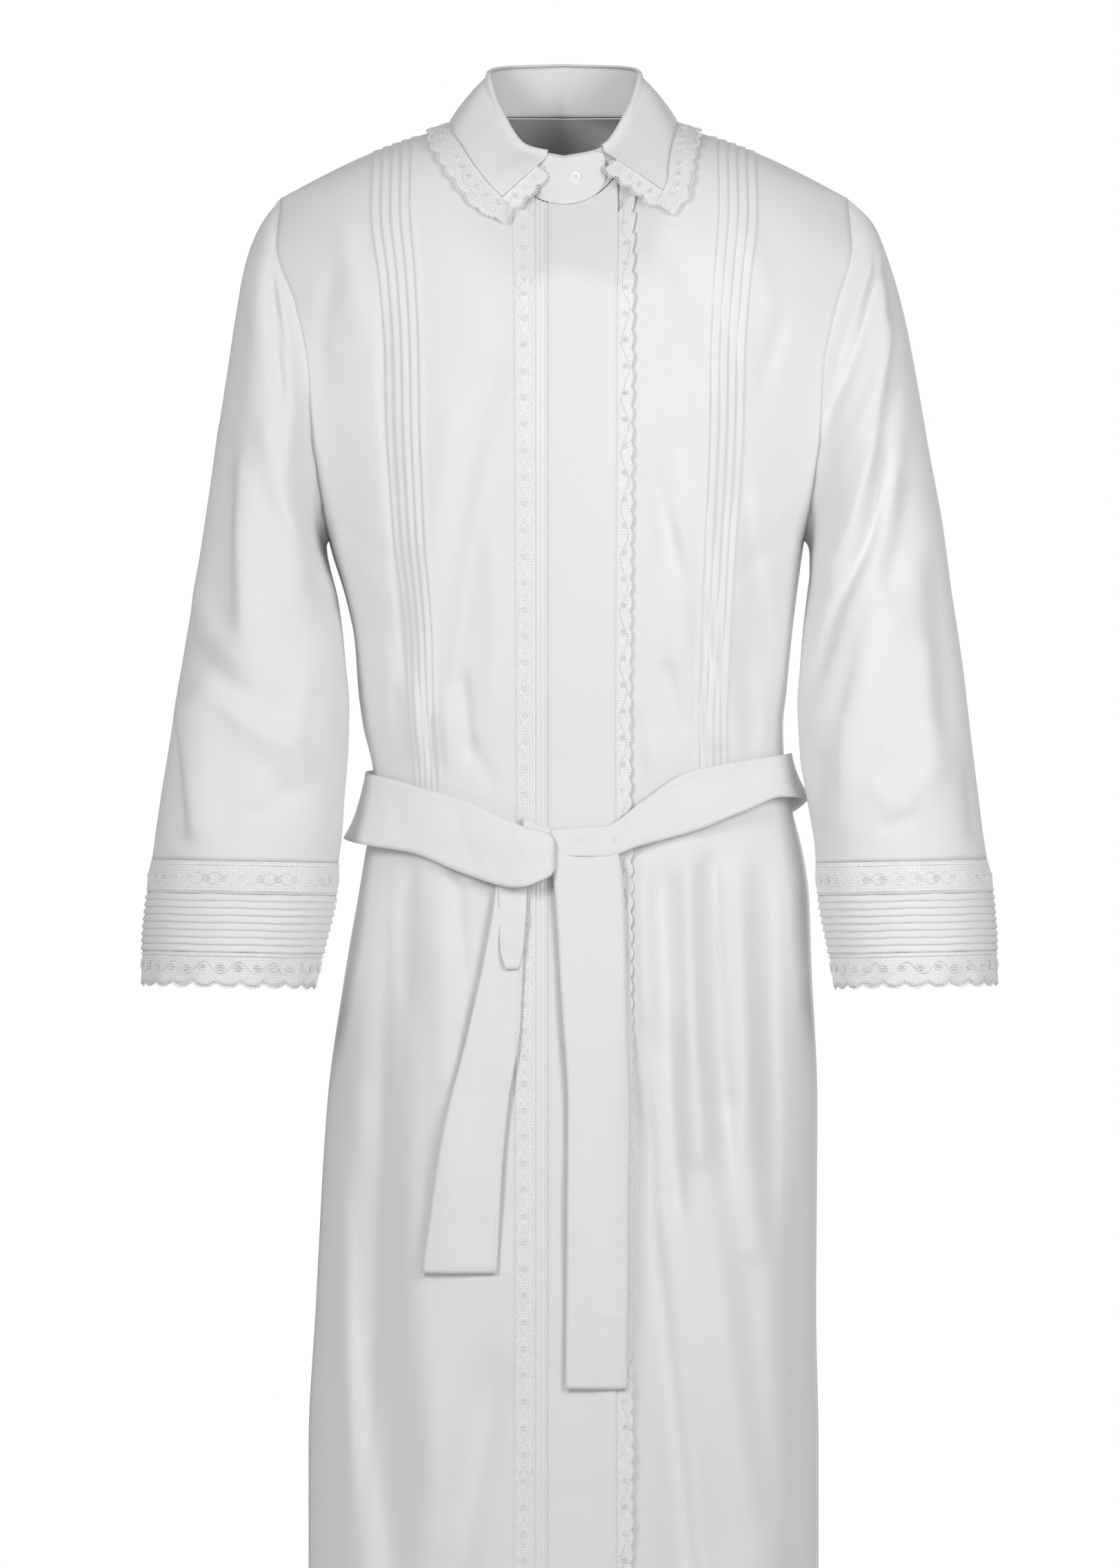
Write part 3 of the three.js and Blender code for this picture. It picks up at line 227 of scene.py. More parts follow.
# Smaller creases, seen from the front or, on the back, through the robe from the front. Each row
# is the points it runs through, how far it spreads to the left and to the right of its run, and
# how far it rises.
CREASES = {
    "front": [
        ([(-58, -250), (-86, -380), (-98, -480)], 8, 18, 2.2),
        ([(85, -85), (114, -129), (139, -168), (146, -205)], 7, 14, -3.0),
        ([(66, -260), (85, -332), (114, -419), (129, -462)], 7, 12, -3.0),
        ([(80, -262), (99, -335), (123, -405)], 10, 8, 2.4),
        ([(105, -313), (114, -390), (129, -473), (134, -525)], 6, 10, -2.6),
        ([(120, -300), (128, -380), (141, -475)], 9, 7, 2.2),
        ([(148, -274), (158, -361), (170, -410), (172, -475)], 7, 14, -3.0),
        ([(188, -156), (174, -197), (166, -220)], 6, 11, -2.6),
        ([(-190, -112), (-204, -165), (-206, -230)], 8, 12, -3.0),
        ([(-218, -150), (-212, -190), (-205, -240)], 8, 10, 2.6),
        ([(-154, -119), (-152, -235), (-138, -410), (-128, -500)], 14, 5, -2.6),
        ([(-85, -455), (-81, -500), (-79, -540)], 6, 9, -3.4),
        ([(-143, -465), (-139, -525)], 5, 8, -3.4),
        ([(-127, -462), (-122, -535)], 7, 7, 3.0),
        ([(-101, -465), (-97, -540)], 8, 7, 2.6),
        ([(-113, -490), (-109, -548)], 5, 7, -2.8),
        ([(-80, -512), (-58, -556)], 6, 8, -2.8),
        ([(85, -446), (101, -512)], 6, 9, -2.8),
        ([(154, -436), (160, -522)], 6, 9, -3.0),
        ([(172, -450), (171, -522)], 7, 7, 2.6),
        ([(112, -470), (117, -534)], 5, 8, -2.6),
        ([(142, -466), (148, -532)], 8, 7, 2.4),
        ([(180, -470), (178, -530)], 5, 8, -2.4),
        ([(62, -470), (76, -545)], 9, 7, 2.0),
        ([(62, -96), (84, -130), (108, -190), (120, -262)], 14, 16, 2.6),
        ([(-60, -96), (-52, -170), (-62, -240)], 16, 14, -1.8),
        ([(148, -72), (168, -128), (177, -166)], 12, 14, 2.0),
        ([(-186, -78), (-180, -128), (-170, -180)], 12, 14, 2.0),
        ([(-200, -322), (-166, -352), (-128, -372)], 14, 18, -1.6),
        ([(-196, -352), (-156, -392)], 14, 16, 1.6),
        ([(202, -334), (166, -360), (138, -384)], 8, 11, -2.4),
        ([(206, -300), (178, -332)], 8, 8, 2.0),
        ([(-64, -330), (-58, -420), (-66, -500)], 12, 10, 1.6),
        ([(-150, -600), (-152, -760), (-158, -950), (-172, -1210)], 8, 20, -4.0),
        ([(50, -600), (54, -700), (62, -860)], 8, 12, -3.2),
        ([(80, -590), (84, -700), (90, -820), (100, -960)], 8, 13, -3.6),
        ([(124, -592), (126, -680), (131, -768), (142, -900)], 8, 15, -4.8),
        ([(170, -600), (172, -720), (176, -960)], 9, 18, -4.2),
        ([(66, -598), (70, -760)], 9, 9, 2.2),
        ([(102, -598), (108, -800)], 11, 10, 3.0),
        ([(148, -598), (155, -860)], 13, 11, 3.4),
        ([(66, -760), (73, -920), (94, -1110), (110, -1290)], 12, 32, -11.0),
        ([(106, -720), (116, -880), (148, -1120), (166, -1290)], 20, 30, 4.6),
        ([(150, -900), (166, -1080), (182, -1200)], 14, 16, -3.0),
        ([(30, -960), (38, -1120), (46, -1290)], 26, 12, 2.4),
        ([(-110, -618), (-101, -760), (-92, -990)], 24, 22, 2.6),
        ([(-128, -598), (-132, -740)], 7, 11, -3.2),
        ([(-90, -604), (-84, -730)], 7, 10, -3.0),
        ([(-136, -700), (-124, -980), (-102, -1190)], 24, 24, 5.0),
        ([(-54, -1020), (-82, -1160), (-98, -1290)], 20, 28, -7.5),
        ([(-180, -820), (-168, -1000), (-148, -1180), (-138, -1290)], 24, 14, -6.5),
        ([(-196, -960), (-176, -1120), (-160, -1290)], 16, 12, 3.6),
        ([(-196, -900), (-190, -1060), (-196, -1290)], 9, 14, -3.0),
        ([(192, -860), (196, -1060), (192, -1290)], 14, 9, -3.0),
        ([(-206, -806), (-120, -812), (-16, -812)], 3, 4, -0.7),
        ([(58, -812), (130, -816), (212, -812)], 3, 4, -0.8),
        ([(-44, -1124), (8, -1130), (48, -1127)], 3, 5, 0.8),
        ([(-40, -1146), (30, -1150)], 3, 5, -0.6),
    ],
    "back": [
        ([(-150, -110), (-128, -200), (-120, -300)], 16, 22, 2.6),
        ([(146, -104), (130, -190), (112, -310)], 20, 14, 2.4),
        ([(-180, -140), (-186, -220), (-176, -290)], 9, 14, -2.8),
        ([(184, -150), (188, -226), (180, -300)], 14, 9, -2.8),
        ([(-30, -140), (-24, -260), (-34, -380)], 22, 26, -2.0),
        ([(44, -170), (50, -280)], 20, 22, -1.8),
        ([(-200, -330), (-160, -352), (-124, -350)], 9, 11, -2.4),
        ([(204, -332), (160, -356), (128, -366)], 9, 11, -2.4),
        ([(-84, -420), (-80, -530)], 6, 10, -3.0),
        ([(-66, -440), (-62, -532)], 8, 7, 2.8),
        ([(-22, -430), (-26, -532)], 6, 9, -2.8),
        ([(34, -440), (32, -532)], 8, 7, 2.8),
        ([(86, -430), (80, -530)], 6, 9, -3.0),
        ([(148, -440), (142, -528)], 7, 9, 2.8),
        ([(-140, -450), (-134, -530)], 6, 8, -2.8),
        ([(-150, -598), (-156, -800), (-166, -1100)], 8, 18, -4.0),
        ([(-66, -600), (-70, -780), (-80, -980)], 7, 12, -4.0),
        ([(-14, -598), (-10, -760), (-4, -940)], 8, 12, -3.6),
        ([(48, -600), (54, -760), (60, -1000)], 7, 12, -4.2),
        ([(112, -598), (120, -760), (130, -960)], 7, 12, -4.0),
        ([(170, -600), (176, -800), (180, -1020)], 8, 14, -3.6),
        ([(-28, -606), (-30, -760)], 9, 9, 3.0),
        ([(96, -606), (102, -780)], 10, 9, 3.4),
        ([(-120, -604), (-126, -800)], 10, 9, 3.4),
        ([(-20, -900), (10, -1100), (16, -1290)], 24, 30, 3.4),
        ([(-150, -1000), (-136, -1160), (-140, -1290)], 18, 24, 3.2),
        ([(120, -1040), (136, -1180), (132, -1290)], 22, 18, -3.2),
        ([(-206, -812), (-40, -806), (90, -810), (210, -812)], 4, 3, -0.7),
    ],
    "sleeve_right_front": [
        ([(-320, -434), (-290, -458), (-260, -484), (-226, -503)], 24, 9, -4.6),
        ([(-316, -462), (-266, -502), (-218, -520)], 8, 36, 3.8),
        ([(-270, -262), (-272, -340), (-268, -436)], 30, 8, 3.0),
        ([(-284, -280), (-286, -350), (-284, -428)], 8, 20, -3.0),
        ([(-250, -108), (-243, -165), (-238, -236)], 7, 9, -3.2),
        ([(-240, -112), (-230, -170), (-228, -240), (-236, -300)], 10, 8, 3.0),
        ([(-232, -118), (-216, -172), (-212, -236)], 8, 7, -2.6),
        ([(-216, -290), (-206, -345), (-202, -400)], 10, 14, -4.0),
        ([(-254, -236), (-240, -300), (-226, -352)], 9, 14, 2.2),
        ([(-322, -474), (-314, -540), (-308, -606)], 26, 7, 3.0),
        ([(-332, -490), (-326, -550), (-320, -606)], 7, 14, -3.0),
        ([(-222, -552), (-246, -572), (-270, -580)], 12, 12, -1.6),
        ([(-214, -440), (-226, -500), (-224, -560)], 14, 16, 1.8),
    ],
    "sleeve_left_front": [
        ([(270, -104), (254, -168), (234, -220), (210, -264)], 7, 7, -3.6),
        ([(258, -98), (240, -160), (220, -214)], 8, 16, 3.0),
        ([(280, -150), (262, -214), (240, -270)], 14, 8, 2.6),
        ([(276, -268), (257, -342), (228, -404), (206, -474)], 8, 7, -4.6),
        ([(262, -250), (243, -326), (216, -388)], 8, 20, 3.4),
        ([(300, -282), (292, -346), (270, -402)], 24, 16, -3.6),
        ([(276, -372), (254, -430), (238, -500), (236, -580)], 22, 12, 3.2),
        ([(314, -350), (318, -430), (324, -520)], 12, 18, -3.0),
        ([(304, -420), (308, -500), (306, -560)], 16, 14, 2.0),
        ([(262, -516), (280, -522), (300, -520)], 10, 13, 1.6),
        ([(256, -548), (276, -566), (298, -566)], 9, 13, 1.8),
        ([(262, -584), (278, -586), (294, -578)], 8, 10, -1.4),
        ([(216, -520), (212, -560), (210, -602)], 9, 9, -3.0),
        ([(342, -530), (346, -570), (350, -604)], 12, 10, -2.4),
    ],
    "sleeve_right_back": [
        ([(-300, -400), (-260, -424), (-222, -470)], 10, 18, 4.2),
        ([(-302, -380), (-262, -404), (-226, -446)], 10, 8, -3.6),
        ([(-250, -130), (-238, -200), (-228, -262)], 8, 12, -3.2),
        ([(-214, -350), (-240, -372), (-266, -372)], 6, 12, -3.0),
        ([(-312, -500), (-276, -530), (-232, -540)], 8, 16, 2.6),
        ([(-290, -240), (-282, -310)], 14, 14, 2.6),
        ([(-320, -560), (-280, -580)], 8, 12, -2.4),
    ],
    "sleeve_left_back": [
        ([(302, -396), (262, -420), (224, -462)], 18, 10, 4.2),
        ([(306, -374), (264, -398), (226, -440)], 8, 10, -3.6),
        ([(252, -128), (240, -198), (230, -258)], 12, 8, -3.2),
        ([(216, -346), (242, -368), (270, -370)], 12, 6, -3.0),
        ([(316, -500), (280, -526), (236, -544)], 16, 8, 2.6),
        ([(292, -236), (284, -306)], 14, 14, 2.6),
        ([(330, -566), (286, -584)], 12, 8, -2.4),
    ],
}

# Each sleeve from the armhole to the cuff seam.
SLEEVE_COLUMNS = "ring outerX outerZ innerX innerZ depth middleY"
SLEEVES = {
    "right": table(
        SLEEVE_COLUMNS,
        (0, -240, -56, -199, -345, 61, 4),
        (1, -256, -77, -200, -351, 70, 1),
        (2, -269, -110, -199, -360, 76, -3),
        (3, -278, -155, -196, -373, 80, -8),
        (4, -286, -210, -191, -392, 82, -14),
        (5, -294, -268, -187, -418, 82, -21),
        (6, -303, -328, -184, -450, 81, -29),
        (7, -313, -390, -181, -486, 80, -37),
        (8, -323, -452, -182, -524, 78, -44),
        (9, -332, -512, -185, -560, 76, -50),
        (10, -340, -565, -187, -590, 75, -55),
        (11, -347, -614, -190, -617, 74, -59),
    ),
    "left": table(
        SLEEVE_COLUMNS,
        (0, 240, -56, 203, -345, 61, 4),
        (1, 260, -77, 207, -351, 70, 1),
        (2, 274, -110, 208, -360, 76, -3),
        (3, 287, -155, 208, -373, 80, -8),
        (4, 298, -210, 206, -392, 82, -14),
        (5, 308, -268, 203, -418, 82, -21),
        (6, 319, -328, 200, -450, 81, -29),
        (7, 327, -390, 197, -486, 80, -37),
        (8, 336, -452, 198, -524, 78, -44),
        (9, 343, -512, 203, -560, 76, -50),
        (10, 350, -565, 208, -590, 75, -55),
        (11, 356, -614, 212, -617, 74, -59),
    ),
}
SLEEVE_RINGS = 11
TURN_PER_RING = 42
HANDS = {"right": -1, "left": 1}

CUFF_COLUMNS = "z outerX innerX depth middleY"
CUFFS = {
    "right": table(
        CUFF_COLUMNS,
        (-615, -347, -190, 74, -59),
        (-642, -351, -192, 73, -61),
        (-691, -355, -203, 71, -65),
        (-720, -355, -210, 70, -68),
    ),
    "left": table(
        CUFF_COLUMNS,
        (-615, 356, 212, 74, -59),
        (-642, 361, 214, 73, -61),
        (-691, 364, 223, 71, -65),
        (-720, 364, 228, 70, -68),
    ),
}

# Those of the sleeves are placed by ring number and by turn: 0 is outermost, 90 the front.
SLEEVE_FOLDS = {
    "right": table(
        FOLD_COLUMNS,
        (7.6, 18, 9.2, 110, 0.55, -5),
        (7.0, 20, 8.5, 115, 0.5, 4),
        (1.5, 80, 4.2, 96, 0.6, 5),
        (3.0, 30, 7.0, 40, 0.6, -4),
        (4.5, 150, 6.5, 110, 0.6, -5),
        (3.0, 250, 6.5, 300, 0.7, 5),
        (6.5, 230, 8.5, 320, 0.7, -5),
    ),
    "left": table(
        FOLD_COLUMNS,
        (1.6, 30, 4.6, 104, 0.5, 5),
        (2.2, 24, 5.2, 98, 0.5, -4),
        (4.8, 42, 7.4, 118, 0.55, -5),
        (9.2, 60, 10.0, 120, 0.7, 4),
        (3.0, 250, 6.5, 290, 0.7, 5),
        (6.5, 230, 8.5, 320, 0.7, -5),
    ),
}

STAND_TOP = table(
    "turn z halfWidth reach",
    (0, -22, 60, 56),
    (30, -15, 61, 56),
    (60, 18, 62, 57),
    (90, 48, 63, 57),
    (135, 55, 63, 57),
    (180, 57, 63, 57),
)

# The collar leaf's edge and the free edge of its lace, as they are seen on the body.
COLLAR = table(
    "turn edgeX edgeZ laceX laceZ",
    (-13, -54, -60, -50, -82),
    (-28, -66, -47, -74, -70),
    (-46, -77, -32, -91, -50),
    (-66, -87, -16, -105, -28),
    (-84, -94, -4, -113, -10),
    (-94, -95, 6, -114, 2),
    (-104, -93, -4, -112, -12),
    (-128, -74, -6, -88, -22),
    (-154, -40, -7, -46, -25),
    (-180, 0, -7, 0, -26),
    (-206, 40, -7, 46, -25),
    (-232, 74, -6, 88, -22),
    (-256, 93, -4, 112, -12),
    (-266, 94, 6, 114, 2),
    (-276, 93, -4, 113, -10),
    (-292, 90, -20, 109, -30),
    (-306, 88, -34, 108, -44),
    (-318, 87, -45, 104, -60),
    (-329, 84, -54, 92, -74),
)
COLLAR_ENDS = tuple(COLLAR["turn"][[0, -1]])
# How far the leaf's roll reaches out over the top of the stand, and how high.
LEAF_ROLL = [(-1.4, 1.6), (-0.9, 2.5), (0.2, 3.0), (1.4, 2.9), (2.5, 2.1), (3.3, 0.4), (3.7, -2.4)]

BELT = table(
    "turn top bottom lift flare",
    (-1.8, -600, -621, 8.6, 0),
    (-2.6, -594, -628, 9.2, 2),
    (-5.0, -590, -633, 10.2, 5),
    (-8.0, -588, -637, 10.6, 4),
    (-11.5, -583, -638, 9.6, 2),
    (-15, -578, -636, 8.2, 0),
    (-27, -564, -625, 4.6, 0),
    (-45, -553, -609, 3.6, 2),
    (-65, -545, -603, 3.0, 8),
    (-90, -541, -597, 2.8, 15),
    (-120, -538, -592, 2.8, 9),
    (-180, -534, -588, 2.8, 3),
    (-240, -529, -580, 2.8, 6),
    (-270, -525, -563, 2.8, 11),
    (-295, -528, -562, 3.0, 6),
    (-315, -533, -575, 3.2, 3),
    (-331, -541, -591, 3.3, 1),
    (-345, -568, -603, 3.3, 0),
    (-353, -587, -612, 3.3, 0),
    (-362, -588, -611, 3.3, 0),
    (-369, -579, -606, 3.3, 0),
)
# Soft wrinkles across the belt: where, from one edge's shift to the other's, spread and height.
BELT_DENTS = (
    (-10, -4, 6, 2.2, -0.9),
    (-18, 3, -5, 2.6, 0.8),
    (-26, -6, 5, 3.0, -0.9),
    (-38, 5, -4, 3.4, 0.7),
    (-52, -3, 4, 4.0, -0.7),
    (-130, -5, 6, 5.0, 0.8),
    (-156, 6, -4, 5.0, -0.8),
    (-204, -5, 7, 6.0, 0.8),
    (-232, 4, -6, 5.0, -0.8),
    (-308, -4, 5, 3.4, -0.7),
    (-322, 5, -3, 3.0, 0.8),
    (-340, -3, 4, 2.4, -0.8),
)
BELT_ENDS = {
    "belt_end_long": table(
        "z left right lift",
        (-588.5, -12, 38, 4.4),
        (-590.5, -12, 39, 5.8),
        (-595, -12, 41, 6.3),
        (-612, -11, 45, 6.2),
        (-632, -9, 48, 5.0),
        (-656, -7, 49, 4.0),
        (-736, -2, 51, 3.6),
        (-824, 3, 52, 3.6),
        (-940, 2, 52, 3.6),
        (-1058, 1, 52, 3.6),
    ),
    "belt_end_short": table(
        "z left right lift",
        (-617, -56, -32, 3.4),
        (-640, -57, -31, 3.4),
        (-700, -67, -34, 3.4),
        (-759, -81, -37, 3.4),
        (-816, -95, -46, 3.4),
        (-869, -105, -51, 3.4),
        (-961, -118, -56, 3.4),
    ),
    "belt_loop": table(
        "z left right lift",
        (-618, -50, -32, 6.1),
        (-641, -54, -31, 5.7),
        (-690, -53, -34, 5.5),
        (-707, -48, -38, 5.5),
    ),
}

# Where the columns of one tuck lie across it, and how far each stands up
TUCK_STOPS = [(0.0, 0.0), (0.12, 0.0), (0.35, 0.45), (0.62, 0.85), (0.86, 1.0), (0.92, 0.1)]
PINTUCK_STOPS = [(0.0, 0.0), (0.2, 0.3), (0.4, 1.0), (0.6, 1.0), (0.75, 0.2), (0.85, 0.0)]
CUFF_TUCK_STOPS = [(0.0, 0.0), (0.1, 0.0), (0.35, 0.45), (0.65, 0.85), (0.86, 1.0), (0.93, 0.12)]

# Each sheet: its finish, its flat size in metres, how it is held, what it rests on and, where its
# cut is far from a rectangle, the area of the cut.
SHEETS = {
    "back": ("cotton", (0.56, 1.36), "hung", ["front_right", "front_left"], 0.68),
    "front_right": ("cotton", (0.335, 1.34), "hung", ["back", "collar_stand"], 0.39),
    "front_left": ("cotton", (0.3, 1.34), "hung", ["back", "collar_stand"], 0.36),
    "placket": ("cotton", (0.06, 1.24), "laid", ["front_right"], None),
    "lace_band": ("lace", (0.019, 1.25), "laid", ["front_right"], None),
    "lace_edge": ("lace", (0.016, 1.21), "hung", ["front_right"], None),
    "collar_stand": ("cotton", (0.42, 0.042), "stretched", ["back", "front_right"], None),
    "collar_leaf": ("cotton", (0.46, 0.085), "folded", ["collar_stand"], 0.03),
    "collar_lace": ("lace", (0.7, 0.024), "laid", ["collar_leaf", "front_right"], None),
    "belt_round": ("cotton", (1.12, 0.056), "stretched", ["front_right", "back"], 0.05),
    "belt_end_long": ("cotton", (0.0546, 0.4795), "hung", ["belt_round"], None),
    "belt_end_short": ("cotton", (0.0437, 0.354), "hung", ["belt_round"], None),
    "belt_loop": ("cotton", (0.0195, 0.099), "hung", ["belt_round"], None),
}
for arm in HANDS:
    above = [f"sleeve_{arm}"], [f"cuff_insertion_{arm}"], [f"cuff_{arm}"]
    SHEETS |= {
        f"sleeve_{arm}": ("cotton", (0.56, 0.6), "hung", ["back", f"front_{arm}"], 0.2),
        f"cuff_insertion_{arm}": ("lace", (0.48, 0.029), "hung", above[0], None),
        f"cuff_{arm}": ("cotton", (0.48, 0.056), "hung", above[1], None),
        f"cuff_lace_{arm}": ("lace", (0.48, 0.029), "hung", above[2], None),
    }

# Motifs: the pitch along the line, then the length, width and height of one
CHAIN = (1.9, 1.7, 1.1, 0.8)
VINE = (1.9, 1.8, 1.0, 0.7)
BUTTON_TIE = (1.2, 1.7, 0.45, 0.4)
COLLAR_CHAIN = (1.7, 1.5, 1.0, 0.8)
COLLAR_VINE = (1.7, 1.6, 1.0, 0.7)
COLLAR_FLOWER = (12, 6.5, 6.5, 1.2)
COLLAR_PICOT = (3.0, 2.4, 2.4, 1.8)
CUFF_FLOWER = (15, 7.5, 7.5, 1.3)
CUFF_PICOT = (3.0, 2.2, 2.2, 2.0)

# Each lamp: its place, its size and its share of the front lights' power
LAMPS = {
    "front_left_light": ((-1.3, -2.0, 0.45), (0.6, 0.9), 0.85),
    "front_right_light": ((0.95, -1.4, -0.05), (0.6, 0.9), 0.47),
    "back_light": ((0.4, 2.8, 0.4), (1.8, 1.6), 1.9),
}
LAMPS_AIM = (0, 0, -0.5)
CAMERA_AIM = (-0.0035, 0, -0.551)
FLOOR_RADIUS = 2.2
FLOOR_SIDES = 96


# Numbers


def along(rows, key, place, column):
    """A smooth value of one column at places along another, as the frame works it out."""
    keys, values = rows[key], rows[column]
    if keys[-1] < keys[0]:
        keys, values = keys[::-1], values[::-1]
    at = np.clip(place, keys[0], keys[-1])
    index = np.clip(np.searchsorted(keys, at, side="right") - 1, 0, len(keys) - 2)
    step = np.diff(keys)
    secant = np.diff(values) / step
    before, after = secant[:-1], secant[1:]
    same = before * after > 0
    middle = np.where(same, 2 * before * after / np.where(same, before + after, 1), 0)
    slope = np.concatenate([[secant[0]], middle, [secant[-1]]])
    span = step[index]
    t = (at - keys[index]) / span
    square, cube = t * t, t * t * t
    return (
        (2 * cube - 3 * square + 1) * values[index]
        + (cube - 2 * square + t) * span * slope[index]
        + (3 * square - 2 * cube) * values[index + 1]
        + (cube - square) * span * slope[index + 1]
    )


def smooth(value):
    t = np.clip(value, 0, 1)
    return t * t * (3 - 2 * t)


def mix(low, high, share):
    return low + (high - low) * share


def stack(*parts):
    return np.stack(np.broadcast_arrays(*parts), axis=-1).astype(float)


def unit(vectors):
    return vectors / np.maximum(np.linalg.norm(vectors, axis=-1, keepdims=True), 1e-9)


def size(name):
    """One of the panel's lengths, in millimetres."""
    return getattr(bpy.context.scene.kittel_sizes, name) * METRE


def ripple(x, z, seed, length, height):
    """Slight unevenness of hanging cloth: a few crossed waves with a fixed seed."""
    random = np.random.default_rng(seed)
    total = np.zeros(np.broadcast(x, z).shape)
    for _ in range(9):
        angle, phase = random.uniform(-0.9, 0.9), random.uniform(0, 2 * math.pi)
        wave = length * random.uniform(0.6, 1.8)
        run = x * math.cos(angle) + z * math.sin(angle) * 0.55
        total = total + np.sin(2 * math.pi * run / wave + phase)
    return total * height / 3


def scallop(count, depth):
    """How far a free edge is drawn in: 0 at the tip of a scallop, depth between two."""
    return depth * (1 - np.abs(np.sin(math.pi * count)) ** 0.7)


# Folds and creases


def on_run(off_u, off_v, run_u, run_v):
    """How far along a straight run a place lies, 0 to 1, and how far it lies off the run."""
    share = np.clip((off_u * run_u + off_v * run_v) / (run_u**2 + run_v**2), 0, 1)
    return share, off_u - share * run_u, off_v - share * run_v


def straight_folds(rows, u, v, unit_v=1):
    """How far the folds of a table lift the cloth; unit_v is how much of v counts as 1 of u."""
    total = np.zeros(np.broadcast(u, v).shape)
    for u0, v0, u1, v1, width, rise in zip(*rows.values()):
        run = u1 - u0, (v1 - v0) / unit_v
        _, off_u, off_v = on_run(u - u0, (v - v0) / unit_v, *run)
        miss = np.hypot(off_u, off_v) / width
        total = total + rise * np.exp(-FOLD_FALL_OFF * miss * miss)
    return total


def crease_rise(name, x, z):
    """How far the creases of that table lift the cloth at each place."""
    total = np.zeros(np.broadcast(x, z).shape)
    for points, left, right, rise in CREASES[name]:
        runs = np.diff(np.array(points, float), axis=0)
        lengths = np.hypot(runs[:, 0], runs[:, 1])
        nearest = np.full(total.shape, np.inf)
        away, place = np.zeros(total.shape), np.zeros(total.shape)
        done = 0.0
        for (x0, z0), (run_x, run_z), length in zip(points, runs, lengths):
            share, off_x, off_z = on_run(x - x0, z - z0, run_x, run_z)
            gap = np.hypot(off_x, off_z)
            spread = np.where(run_x * off_z - run_z * off_x > 0, left, right)
            closer = gap < nearest
            nearest = np.where(closer, gap, nearest)
            away = np.where(closer, gap / spread, away)
            place = np.where(closer, (done + share * length) / lengths.sum(), place)
            done += length
        taper = smooth(place / CREASE_TAPER + 0.15) * smooth((1 - place) / CREASE_TAPER + 0.15)
        total = total + rise * np.exp(-CREASE_FALL_OFF * away**2) * taper
    return total * bpy.context.scene.kittel_sizes.crease_depth


def fold_rise(face, x, z):
    """How far folds and creases lift a panel, less where the belt holds it."""
    total = straight_folds(BODY_FOLDS[face], x, z) * 1.1
    total = total + crease_rise("front" if face == FRONT else "back", x, z)
    total = total + ripple(x, z, RIPPLE_SEEDS[face], 130, 1.2)
    belt_z = BELT_LINE_Z - BELT_DIP * np.exp(-((x / 60) ** 2))
    return total * (1 - np.exp(-(((z - belt_z) / 30) ** 2)))


# Body surface


def armhole_place(level):
    """Where a level lies on the armhole: 1 at the shoulder, -1 at the underarm."""
    return (level - ARMHOLE_MIDDLE) / ARMHOLE_HALF


def armhole_opening(level, share):
    """How far the armhole opens at a level; cloth beside it eases into the side seam."""
    place = np.clip(armhole_place(level), -1, 1)
    return np.sqrt(1 - place * place) * mix(smooth((1 - np.abs(place)) / 0.16), 1, share**12)


def ridge_z(across):
    share = (np.abs(across) - NECK_HALF) / (SHOULDER_HALF - NECK_HALF)
    return mix(NECK_SIDE_Z, SHOULDER_Z, share) + SHOULDER_BOW * np.sin(math.pi * share)


def top_z(face, across):
    share = np.sqrt(np.clip(1 - (across / NECK_HALF) ** 2, 0, 1))
    neck = -NECK_FRONT_DROP * share**1.2 if face == FRONT else NECK_BACK_RISE * share
    return np.where(np.abs(across) >= NECK_HALF, ridge_z(across), NECK_SIDE_Z + neck)


def height_of(face, across, level):
    """The height of a row at that place: rows near the shoulders follow the top edge."""
    down = np.clip((SHOULDER_Z - level) / (SHOULDER_Z - UNDERARM_Z), 0, 1)
    return level + (top_z(face, across) - SHOULDER_Z) * (1 - down) ** 2


def hand_of(x):
    return np.where(x < 0, -1, 1)


def side_x(hand, z):
    """Where the body's side lies at a height."""
    return np.where(hand < 0, along(BODY, "z", z, "left"), along(BODY, "z", z, "right"))


def body_point(face, across, level):
    """A point of the body: across is measured over the shoulders, level is the row's height."""
    across, level = np.broadcast_arrays(np.asarray(across, float), np.asarray(level, float))
    hand = hand_of(across)
    side = side_x(hand, level)
    z = height_of(face, across, level)
    x = across + (across / SHOULDER_HALF) ** 2 * (side - hand * SHOULDER_HALF)
    share = np.clip(np.abs(x / side), 0, 1)
    gentle = smooth((1 - np.abs(armhole_place(level))) / 0.7)
    opening = mix(gentle, armhole_opening(level, share), share**6)
    opening = np.where(level > UNDERARM_Z, opening, 0)
    side_y = along(BODY, "z", level, "seam") + face * ARMHOLE_HALF_DEPTH * opening
    middle_y = along(BODY, "z", z, "front" if face == FRONT else "back")
    curve = along(BODY, "z", z, "round")
    full = side_y + (middle_y - side_y) * (1 - share**curve) ** mix(1 / curve, 0.9, opening)
    drop = np.maximum(0, ridge_z(across) - z)
    shoulder = smooth((np.abs(across) - 20) / 120)
    roll = mix(NECK_ROLL[face], SHOULDER_ROLL, shoulder)
    fall = mix(NECK_FALL[face], SHOULDER_FALL, shoulder)
    rounding = (1 - (1 - np.minimum(drop / fall, 1)) ** roll) ** (1 / roll)
    edge = np.minimum(1, drop / 60) * (1 - share**8)
    y = SHOULDER_SEAM_Y + (full - SHOULDER_SEAM_Y) * rounding
    return stack(x, y + face * edge * fold_rise(face, x, z), z)


